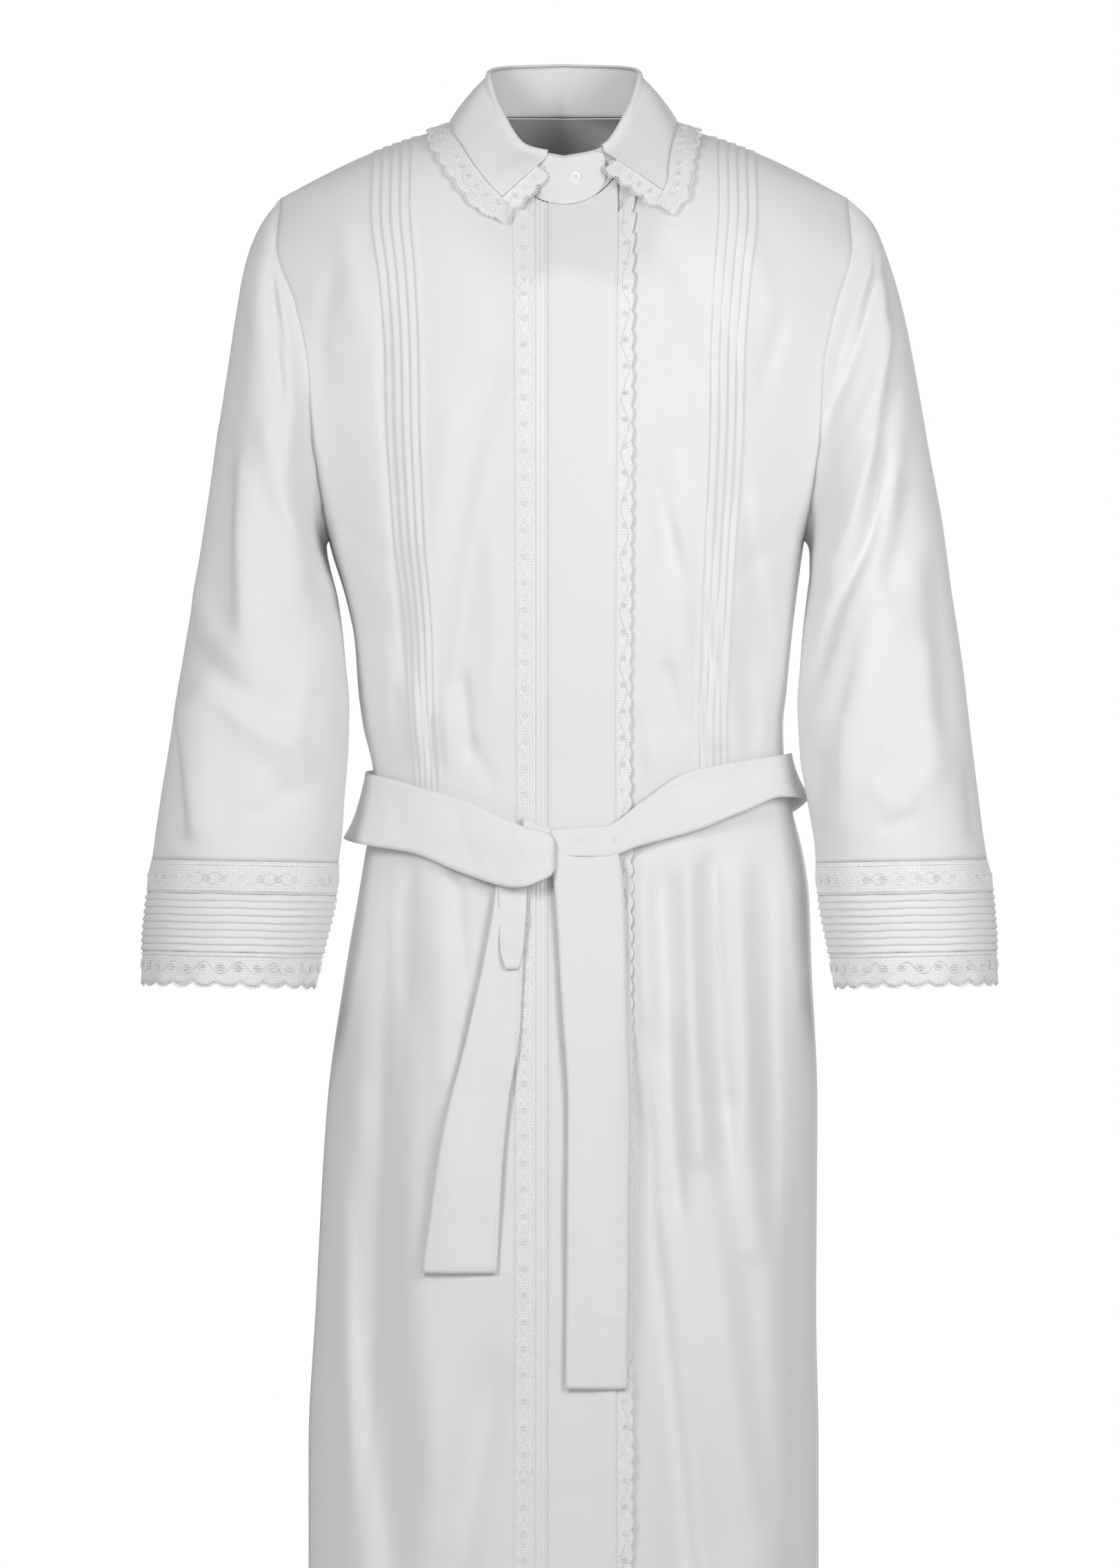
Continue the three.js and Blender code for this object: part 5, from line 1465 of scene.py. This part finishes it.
def make_leaf():
    turns = np.linspace(*COLLAR_ENDS, 201)
    shares = np.linspace(0, 1, 15)[1:]
    share, turn = np.meshgrid(shares, turns)
    top, out = stand_top(turns), out_of_neck(turns)
    rolls = [top + out * (reach + 0.1) + np.array([0, 0, up]) for reach, up in LEAF_ROLL]
    points = np.concatenate([np.stack(rolls, axis=1), leaf_point(turn, share, 1.3)], axis=1)
    down = np.concatenate([np.linspace(-8, 0, len(LEAF_ROLL)), shares * 60])
    cloth("collar_leaf", points, stack(turns[:, None] / 360 * 420, down), 1.2, -1)


def collar_lace_edges():
    """The leaf's front and lower edges, and beside them the lace's free edge."""
    turns = np.linspace(*COLLAR_ENDS, 221)
    shares = np.linspace(0.2, 0.98, 30)

    def front_edge(turn, hand):
        edge = leaf_point(np.full(shares.shape, turn), shares, 0.4)
        free = edge + stack(hand * 11, -1.5, -9 - 4 * shares)
        return edge + np.array([-hand * 2.0, 0.6, 0]), free

    (edge_x, edge_z), (lace_x, lace_z) = (collar_place(turns, kind) for kind in ("edge", "lace"))
    gap_x, gap_z = lace_x - edge_x, lace_z - edge_z
    tucked = COLLAR_LACE_TUCKED / np.hypot(gap_x, gap_z)
    edge_x, edge_z = edge_x - gap_x * tucked, edge_z - gap_z * tucked
    lower = on_leaf_side(turns, edge_x, edge_z, COLLAR_LACE_LIFT - 0.1)
    free = on_leaf_side(turns, lace_x, lace_z, COLLAR_LACE_LIFT - 1.2)
    first, last = front_edge(turns[0], 1), front_edge(turns[-1], -1)
    edges = np.concatenate([first[0], lower, last[0][::-1]])
    frees = np.concatenate([first[1], free, last[1][::-1]])
    return edges, frees


def resample(edges, frees, count):
    """Both paths again, with even steps along the line midway between them."""
    steps = np.linalg.norm(np.diff((edges + frees) / 2, axis=0), axis=1)
    length = np.concatenate([[0], np.cumsum(steps)])
    at = np.linspace(0, length[-1], count)

    def pick(path):
        return np.stack([np.interp(at, length, column) for column in path.T], axis=1)

    return pick(edges), pick(frees), at


def make_collar_lace():
    """The lace round the leaf. Gives back its sewn and its free edge."""
    edges, frees, at = resample(*collar_lace_edges(), 560)
    scallops = round(at[-1] / COLLAR_SCALLOP)
    drawn = scallop(at / at[-1] * scallops, COLLAR_SCALLOP_DEPTH)
    frees = frees + unit(edges - frees) * drawn[:, None]
    shares = np.linspace(0, 1, 9)
    points = edges[:, None] + (frees - edges)[:, None] * shares[None, :, None]
    flutter = 0.7 * np.sin(at / 9.0)[:, None] * shares**2
    points[..., 2] += flutter * 0.6
    points[..., 1] += flutter * 0.5 * np.sign(points[..., 1])
    cloth("collar_lace", points, stack(at[:, None], shares * 20), LACE_THICKNESS, -1)
    return edges, frees


def make_button():
    """A shirt button, dished and pierced four times. Gives back its middle and its directions."""
    radii = np.concatenate([np.linspace(0.02, 2.4, 22), np.linspace(2.6, BUTTON_RADIUS, 16)])
    turn, radius = np.meshgrid(np.arange(72) * 5.0, radii)
    angle = np.radians(turn)
    dish = BUTTON_DISH * (1 - smooth((radius - 3.0) / BUTTON_RIM))
    to_rim = np.clip((radius - BUTTON_RADIUS) / BUTTON_RIM + 1, 0, 1)
    edge = BUTTON_RIM * (1 - np.sqrt(1 - to_rim**2))
    height = BUTTON_HEIGHT - dish - edge
    x, y = radius * np.cos(angle), radius * np.sin(angle)
    for hand_x, hand_y in ((1, 1), (-1, 1), (-1, -1), (1, -1)):
        gap = np.hypot(x - hand_x * BUTTON_HOLE_AT, y - hand_y * BUTTON_HOLE_AT)
        height = height - (1 - smooth((gap - 0.42) / 0.2))
    here = np.array([BUTTON_TURN])
    low, high = stand_point(here, 0, 0)[0], stand_top(here)[0]
    place = mix(low, high, (BUTTON_Z - low[2]) / (high[2] - low[2]))
    climb = unit(high - low)
    turn_at = math.radians(BUTTON_TURN)
    sideways = np.array([math.cos(turn_at), math.sin(turn_at), 0])
    out = unit(np.cross(sideways, climb))
    raised = height[..., None] + BUTTON_LIFT
    points = place + x[..., None] * sideways + y[..., None] * climb + raised * out
    points = np.concatenate([points, points[-1:] - out * (BUTTON_HEIGHT - BUTTON_RIM)])
    index, quads = grid_quads(*points.shape[:2], True)
    faces = quads[:, ::-1].tolist() + [index[0].tolist(), index[-1][::-1].tolist()]
    piece = new_object("shirt_button", points.reshape(-1, 3), faces)
    finish_piece(piece, "pearl", "collar_button")
    return place + out * (BUTTON_HEIGHT - 0.35 + BUTTON_LIFT), sideways, climb, out


# Belt


def waist_point(turn, z, lift):
    """A place that far off the body at the waist; turn 0 is the front."""
    angle = np.radians(turn)
    hand = hand_of(np.sin(angle))
    front = np.cos(angle) >= 0
    side = side_x(hand, z)
    curve, seam = along(BODY, "z", z, "round"), along(BODY, "z", z, "seam")
    middle = np.where(front, along(BODY, "z", z, "front"), along(BODY, "z", z, "back"))
    share = np.abs(np.sin(angle)) ** (2 / curve)
    depth = np.abs(np.cos(angle)) ** (2 / curve)
    out_x = hand * share ** (curve - 1) / np.abs(side)
    out_y = np.where(front, FRONT, BACK) * depth ** (curve - 1) / np.abs(middle - seam)
    point = stack(side * share, seam + (middle - seam) * depth, z)
    return point + unit(stack(out_x, out_y, z * 0)) * lift[..., None]


def belt_grid(turns, shares, extra):
    """Places on the belt round the waist: share 0 is its upper edge, extra lifts it off."""
    share, turn = np.meshgrid(shares, turns)
    top, bottom, lift, flare = (
        along(BELT, "turn", turn, column) for column in ("top", "bottom", "lift", "flare")
    )
    bulge = 1.1 * np.sin(math.pi * share)
    near_knot = smooth((turn + 60) / 50) + smooth((-300 - turn) / 40)
    drag = 1.1 * np.sin(share * 9 + turn * 0.09) * near_knot
    drag = drag + 0.8 * np.sin(share * 5 + turn * 0.13)
    lip = np.exp(-(((share - 0.17) / 0.05) ** 2)) * smooth((-326 - turn) / 6)
    lip = lip * smooth((turn + 356) / 8)
    dents = 0.0
    for place, low, high, spread, depth in BELT_DENTS:
        away = (turn - place - (share - 0.5) * (high - low)) / spread
        dents = dents + depth * np.exp(-(away**2)) * np.sin(math.pi * share) ** 0.7
    lift = lift + flare * share**1.5 + bulge + drag * 0.7 - 1.5 * lip + dents + extra
    return waist_point(turn, mix(top, bottom, share), lift)


def make_belt():
    turns = np.linspace(*BELT["turn"][[0, -1]], 420)
    shares = np.linspace(0, 1, 15)
    uv = stack(turns[:, None] * 2.6, shares * 52)
    cloth("belt_round", belt_grid(turns, shares, 1.8), uv, 1.8, 1)


def end_grid(rows, heights, shares, extra):
    """Places on a hanging stretch of the belt: share 0 is its wearer's right edge."""
    share, z = np.meshgrid(shares, heights)
    left, right, lift = (along(rows, "z", z, column) for column in ("left", "right", "lift"))
    return on_panel(FRONT, across_for(mix(left, right, share), z), z, lift + extra)


def make_belt_end(name):
    """A hanging stretch of the belt, swaying, with one edge curled up and a pleat at its top."""
    rows = BELT_ENDS[name]
    top, foot = rows["z"][0], rows["z"][-1]
    count = max(24, int((top - foot) / 4))
    heights = np.linspace(top, foot, count)
    shares = np.linspace(0, 1, 17)
    fall = np.linspace(0, 1, count)[:, None]
    curl = 0.8 * np.sin(fall * 9 + shares * 2.2) + 0.5 * np.sin(fall * 21 - shares * 3.1)
    curl = curl * smooth(fall / 0.15)
    if name != "belt_loop":
        hang = np.sin(math.pi * np.clip(fall * 1.15, 0, 1))
        curl = curl + 2.6 * smooth((0.4 - shares) / 0.4) * hang
    from_top = heights[:, None] - top
    pleat = 0.9 * np.exp(-(((shares - 0.45) / 0.12) ** 2)) * np.exp(-((from_top / 60) ** 2))
    points = end_grid(rows, heights, shares, 1.7 + curl - pleat)
    width = (rows["right"] - rows["left"]).mean()
    cloth(name, points, stack(shares * width, heights[:, None]), 1.5, -1)


def line_on(grid, lift, *places):
    """A sewing line on a stretch of the belt, its directions taken from 1 mm further off."""
    points, above = (grid(*places, height).squeeze() for height in (lift, lift + 1))
    return points, above - points


# Settings


def length_property(label, text, default):
    return FloatProperty(name=label, description=text, default=default, unit="LENGTH")


def colour_property(label, text, default):
    return FloatVectorProperty(
        name=label, description=text, subtype="COLOR", default=default, min=0, max=1
    )


class KittelSizes(bpy.types.PropertyGroup):
    cloth_thickness: length_property("Cloth thickness", "Thickness of one layer of cotton", 0.001)
    tuck_height: length_property("Tuck height", "How far the chest tucks stand up", 0.001)
    pintuck_height: length_property("Pintuck height", "How far the pintucks stand up", 0.0009)
    cuff_tuck_height: length_property(
        "Cuff tuck height", "How far the cuff tucks stand out", 0.0015
    )
    crease_depth: FloatProperty(
        name="Crease depth",
        description="How deep the creases are, 1 being as in their table",
        default=1.35,
        min=0,
        max=2.5,
    )
    stitch_pitch: length_property("Stitch pitch", "Length from one stitch to the next", 0.0026)
    flower_pitch: length_property(
        "Flower pitch", "Length from one lace flower to the next", 0.022
    )


class KittelLooks(bpy.types.PropertyGroup):
    cotton: colour_property("Cotton", "Colour of the cloth", (0.83, 0.83, 0.83))
    lace: colour_property("Lace", "Colour of the lace", (0.88, 0.88, 0.875))
    thread: colour_property("Thread", "Colour of the stitches", (0.9, 0.9, 0.9))
    pearl: colour_property("Button", "Colour of the button", (0.86, 0.85, 0.82))
    thread_pitch: length_property(
        "Thread pitch", "Distance between two threads of the weave", 0.0006
    )


class KittelStage(bpy.types.PropertyGroup):
    distance: length_property("Camera distance", "How far the camera stands off", 16.0)
    lens: FloatProperty(name="Lens", description="Focal length in millimetres", default=434.5)
    key_power: FloatProperty(
        name="Front lights", description="Power of each front light", default=28.6, unit="POWER"
    )
    floor_z: length_property("Floor height", "Height of the floor", -1.62)
    backdrop: FloatProperty(
        name="Backdrop", description="Brightness of the studio behind the robe", default=1.0
    )
    ambient: FloatProperty(
        name="Ambient light", description="Light from all round", default=0.275
    )


# Operators


class KITTEL_OT_panels(bpy.types.Operator):
    """Make the back and the two fronts"""

    bl_idname = "kittel.panels"
    bl_label = "Panels"

    def execute(self, context):
        make_back()
        make_front_right()
        make_front_left()
        return {"FINISHED"}


class KITTEL_OT_lapped_front(bpy.types.Operator):
    """Make the placket and the two laces beside it"""

    bl_idname = "kittel.lapped_front"
    bl_label = "Lapped front"

    def execute(self, context):
        make_band("placket", PLACKET_FROM, PLACKET_TO, 15, 1.0)
        make_band("lace_band", LACE_BAND_FROM, PINTUCKS_FROM, 8, 0.6)
        make_edge_lace()
        return {"FINISHED"}


class KITTEL_OT_sleeves(bpy.types.Operator):
    """Make the sleeves, the lace above the cuffs, the tucked cuffs and their lace"""

    bl_idname = "kittel.sleeves"
    bl_label = "Sleeves and cuffs"

    def execute(self, context):
        for name in HANDS:
            make_sleeve(name)
            make_cuff_insertion(name)
            make_cuff(name)
            make_cuff_lace(name)
        return {"FINISHED"}


class KITTEL_OT_collar(bpy.types.Operator):
    """Make the collar stand, the leaf, its embroidered lace and the button"""

    bl_idname = "kittel.collar"
    bl_label = "Collar"

    def execute(self, context):
        make_stand()
        make_leaf()
        edges, frees = make_collar_lace()
        middle, sideways, climb, out = make_button()
        ties, dip = [], np.array([[-0.5], [0.1], [-0.5]])
        for lean in (1, -1):
            slant = (sideways + climb * lean) * BUTTON_HOLE_AT
            ends = np.array([middle - slant, middle, middle + slant])
            ties.append((ends + out * dip, np.tile(out, (3, 1))))
        sew("button_thread", "stitch", ties, BUTTON_TIE)
        ups = unit(np.cross(np.gradient(frees, axis=0), edges - frees))
        outward = ups[:, 2] * 0.4 + ups[:, 1] * np.sign(frees[:, 1]) > 0
        ups = ups * np.where(outward, 1, -1)[:, None]
        inward = unit(edges - frees)
        chains = [(frees + inward * 0.9 + ups * 0.2, ups), (edges - inward * 2.0 + ups * 0.1, ups)]
        sew("collar_lace_work", "stitch", chains, COLLAR_CHAIN)
        sway = 0.5 + 0.26 * np.sin(np.arange(len(edges)) * 0.19)[:, None]
        vine = [(mix(edges, frees, sway) + ups * 0.1, ups)]
        sew("collar_lace_vine", "stitch", vine, COLLAR_VINE)
        flowers = [(mix(edges, frees, 0.5) + ups * 0.2, ups)]
        sew("collar_lace_flowers", "flower", flowers, COLLAR_FLOWER)
        sew("collar_lace_picots", "picot", [(frees - inward * 0.6, ups)], COLLAR_PICOT)
        return {"FINISHED"}


class KITTEL_OT_belt(bpy.types.Operator):
    """Make the belt, its hanging ends and the loop under the knot"""

    bl_idname = "kittel.belt"
    bl_label = "Belt"

    def execute(self, context):
        make_belt()
        for name in BELT_ENDS:
            make_belt_end(name)
        return {"FINISHED"}


class KITTEL_OT_lace_work(bpy.types.Operator):
    """Embroider flowers, chains and picots on the laces of the front and cuffs"""

    bl_idname = "kittel.lace_work"
    bl_label = "Lace embroidery"

    def execute(self, context):
        self.work_front()
        for name in HANDS:
            self.work_cuff(name)
        return {"FINISHED"}

    def work_front(self):
        levels = np.linspace(SHOULDER_Z, HEM_Z, 420)
        low = np.linspace(EDGE_LACE_TOP_Z, HEM_Z, 420)
        pitch = size("flower_pitch")

        def sew_on(name, kind, places, levels, lift, sizes):
            lines = [panel_line(FRONT, across, levels, lift) for across in places]
            sew(name, kind, lines, sizes)

        centre = (LACE_BAND_FROM + PINTUCKS_FROM) / 2
        edges = LACE_BAND_FROM + 2.2, PINTUCKS_FROM - 2.2
        sway = 4.6 * np.sin(levels * math.pi / pitch)
        flower = (pitch, 7.0, 7.0, 1.2)
        sew_on("lace_band_chain", "stitch", edges, levels, 0.85, CHAIN)
        sew_on("lace_band_flowers", "flower", [centre], levels, 0.95, flower)
        sew_on("lace_band_vines", "stitch", (centre + sway, centre - sway), levels, 0.85, VINE)
        half = (PLACKET_TO + EDGE_LACE_TO) / 2 - 0.5
        edges = PLACKET_TO + 1.8, edge_lace_reach(low) - 1.0
        sway = 3.4 * np.sin(low * math.pi / pitch)
        flower = (pitch, 6.0, 6.0, 1.2)
        sew_on("lace_edge_chain", "stitch", edges, low, 0.4, CHAIN)
        sew_on("lace_edge_flowers", "flower", [half], low, 1.0, flower)
        sew_on("lace_edge_vine", "stitch", [half + sway], low, 1.0, VINE)

    def work_cuff(self, name):
        turns = np.linspace(0, 360, 241)
        out = out_of_sleeve(name, turns)
        foot = cuff_lace_foot(turns)

        def sew_round(motif, kind, rings, sizes):
            lines = [(cuff_ring(name, z, turns, grow), out) for z, grow in rings]
            sew(f"cuff_{motif}_{name}", kind, lines, sizes)

        seams = [(z, 1.0) for z in (INSERTION_CHAIN_Z, CUFF_TOP_Z + 3, CUFF_END_Z - 2.5)]
        sew_round("chain", "stitch", [*seams, (foot + 1.0, 0.6)], CHAIN)
        middles = [(z, 1.2) for z in (INSERTION_MIDDLE_Z, CUFF_LACE_MIDDLE_Z)]
        sew_round("flowers", "flower", middles, CUFF_FLOWER)
        sway = 5.0 * np.sin(np.radians(turns * 16))
        vines = INSERTION_MIDDLE_Z + sway, INSERTION_MIDDLE_Z - sway, CUFF_LACE_MIDDLE_Z + sway
        sew_round("vines", "stitch", [(z, 1.1) for z in vines], VINE)
        sew_round("picots", "picot", [(foot - 0.8, 0.2)], CUFF_PICOT)


class KITTEL_OT_stitches(bpy.types.Operator):
    """Sew the rows of stitches along the seams, hems and edges"""

    bl_idname = "kittel.stitches"
    bl_label = "Stitches"

    def execute(self, context):
        pitch = size("stitch_pitch")
        stitch = (pitch, pitch * 0.72, 0.5, 0.35)
        for name, lines in {
            "front_stitches": self.front_lines(),
            "back_stitches": self.back_lines(),
            "armhole_stitches": self.armhole_lines(),
            "collar_stitches": self.collar_lines(),
            "belt_stitches": self.belt_lines(),
        }.items():
            sew(name, "stitch", lines, stitch)
        return {"FINISHED"}

    def front_lines(self):
        levels = np.linspace(SHOULDER_Z - 3, HEM_Z + 2, 400)
        edges = PLACKET_FROM + 2.5, PLACKET_TO - 2.5
        hems = np.linspace(-HEM_LINE_TO, PLACKET_FROM - 1, 120), np.linspace(86, HEM_LINE_TO, 90)
        lines = [panel_line(FRONT, across, levels, 1.25) for across in edges]
        return lines + [panel_line(FRONT, across, HEM_LINE_Z, SEAM_LIFT) for across in hems]

    def back_lines(self):
        hem = np.linspace(-HEM_LINE_TO, HEM_LINE_TO, 220)
        lines = [panel_line(BACK, hem, HEM_LINE_Z, SEAM_LIFT)]
        shoulder = np.linspace(68, 236, 70)
        for hand in (-1, 1):
            lines.append(panel_line(BACK, hand * shoulder, SHOULDER_Z - 4.0, SEAM_LIFT))
        return lines

    def armhole_lines(self):
        turns = np.linspace(0, 360, 200)
        lines = []
        for name in HANDS:
            out = out_of_sleeve(name, turns)
            points = sleeve_point(name, np.full(turns.shape, 0.1), turns)
            lines.append((points + out * 0.1, out))
        return lines

    def collar_lines(self):
        turns = np.linspace(*COLLAR_ENDS, 201)
        around = out_of_neck(turns) + np.array([0, 0, 0.35])
        lines = [(leaf_point(turns, 0.93, LEAF_STITCH_LIFT), around)]
        shares = np.linspace(0.05, 0.92, 40)
        for turn in (turns[0] - 2.6, turns[-1] + 2.6):
            turn = np.full(shares.shape, turn)
            out = out_of_neck(turn) + np.array([0, 0, 0.3])
            lines.append((leaf_point(turn, shares, LEAF_STITCH_LIFT), out))
        return lines

    def belt_lines(self):
        turns = np.linspace(BELT["turn"][0] - 1, BELT["turn"][-1] + 1, 420)
        lines = [line_on(belt_grid, 1.95, turns, share) for share in (0.05, 0.95)]
        for name, hem in (("belt_end_long", 58), ("belt_end_short", 5)):
            ends = BELT_ENDS[name]
            foot = ends["z"][-1]
            heights = np.linspace(ends["z"][0], foot + 2, 160)
            lines += [line_on(end_grid, 1.85, ends, heights, share) for share in (0.06, 0.94)]
            lines.append(line_on(end_grid, 1.85, ends, foot + hem, np.linspace(0.06, 0.94, 30)))
        return lines


def look_at(thing, target):
    direction = Vector(target) - thing.location
    thing.rotation_euler = direction.to_track_quat("-Z", "Y").to_euler()


class KITTEL_OT_stage(bpy.types.Operator):
    """Make the floor, the lights and the camera"""

    bl_idname = "kittel.stage"
    bl_label = "Stage"

    def execute(self, context):
        scene, stage = context.scene, context.scene.kittel_stage
        self.make_floor(stage)
        for name, (place, (wide, high), share) in LAMPS.items():
            lamp = bpy.data.lights.new(name, "AREA")
            lamp.shape = "RECTANGLE"
            lamp.size, lamp.size_y = wide, high
            lamp.energy = stage.key_power * share
            light = link(name, lamp)
            light.location = place
            look_at(light, LAMPS_AIM)
        scene.world = self.make_world(stage)
        camera = bpy.data.cameras.new("camera")
        camera.sensor_fit = "VERTICAL"
        camera.sensor_height = 36
        camera.lens = stage.lens
        viewer = link("camera", camera)
        viewer.location = (CAMERA_AIM[0], -stage.distance, CAMERA_AIM[2])
        look_at(viewer, CAMERA_AIM)
        scene.camera = viewer
        scene.view_settings.view_transform = "Standard"
        return {"FINISHED"}

    def make_floor(self, stage):
        turns = [2 * math.pi * step / FLOOR_SIDES for step in range(FLOOR_SIDES)]
        rim = [
            (FLOOR_RADIUS * math.cos(turn), FLOOR_RADIUS * math.sin(turn), stage.floor_z)
            for turn in turns
        ]
        mesh = bpy.data.meshes.new("floor")
        mesh.from_pydata(rim, [], [tuple(range(FLOOR_SIDES))])
        mesh.materials.append(new_material("floor", (0.86, 0.86, 0.86), 0.9, 0.0)[0])
        link("floor", mesh)

    def make_world(self, stage):
        """White behind the robe, and dimmer as a light."""
        world = bpy.data.worlds.new("studio")
        world.use_nodes = True
        build = Builder(world.node_tree)
        seen = Number(build, build.add("ShaderNodeLightPath", output="Is Camera Ray"))
        background = world.node_tree.nodes["Background"].inputs
        background["Color"].default_value = (1, 1, 1, 1)
        strength = seen * (stage.backdrop - stage.ambient) + stage.ambient
        build.feed(background["Strength"], strength)
        return world


class KITTEL_PT_parts(bpy.types.Panel):
    """The kittel's pieces and sizes"""

    bl_label = "Kittel"
    bl_idname = "KITTEL_PT_parts"
    bl_space_type = "VIEW_3D"
    bl_region_type = "UI"
    bl_category = "Kittel"

    def draw(self, context):
        layout, scene = self.layout, context.scene
        for group in (scene.kittel_sizes, scene.kittel_looks, scene.kittel_stage):
            column = layout.column(align=True)
            for name in group.__annotations__:
                column.prop(group, name)
        for operator in OPERATORS:
            layout.operator(operator.bl_idname)


OPERATORS = (
    KITTEL_OT_panels,
    KITTEL_OT_lapped_front,
    KITTEL_OT_sleeves,
    KITTEL_OT_collar,
    KITTEL_OT_belt,
    KITTEL_OT_lace_work,
    KITTEL_OT_stitches,
    KITTEL_OT_stage,
)
CLASSES = (KittelSizes, KittelLooks, KittelStage, *OPERATORS, KITTEL_PT_parts)


def register():
    for item in CLASSES:
        bpy.utils.register_class(item)
    bpy.types.Scene.kittel_sizes = PointerProperty(type=KittelSizes)
    bpy.types.Scene.kittel_looks = PointerProperty(type=KittelLooks)
    bpy.types.Scene.kittel_stage = PointerProperty(type=KittelStage)


def unregister():
    del bpy.types.Scene.kittel_stage
    del bpy.types.Scene.kittel_looks
    del bpy.types.Scene.kittel_sizes
    for item in reversed(CLASSES):
        bpy.utils.unregister_class(item)


def main():
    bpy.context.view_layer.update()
    register()
    for operator in OPERATORS:
        group, name = operator.bl_idname.split(".")
        getattr(getattr(bpy.ops, group), name)()


if __name__ == "__main__":
    main()
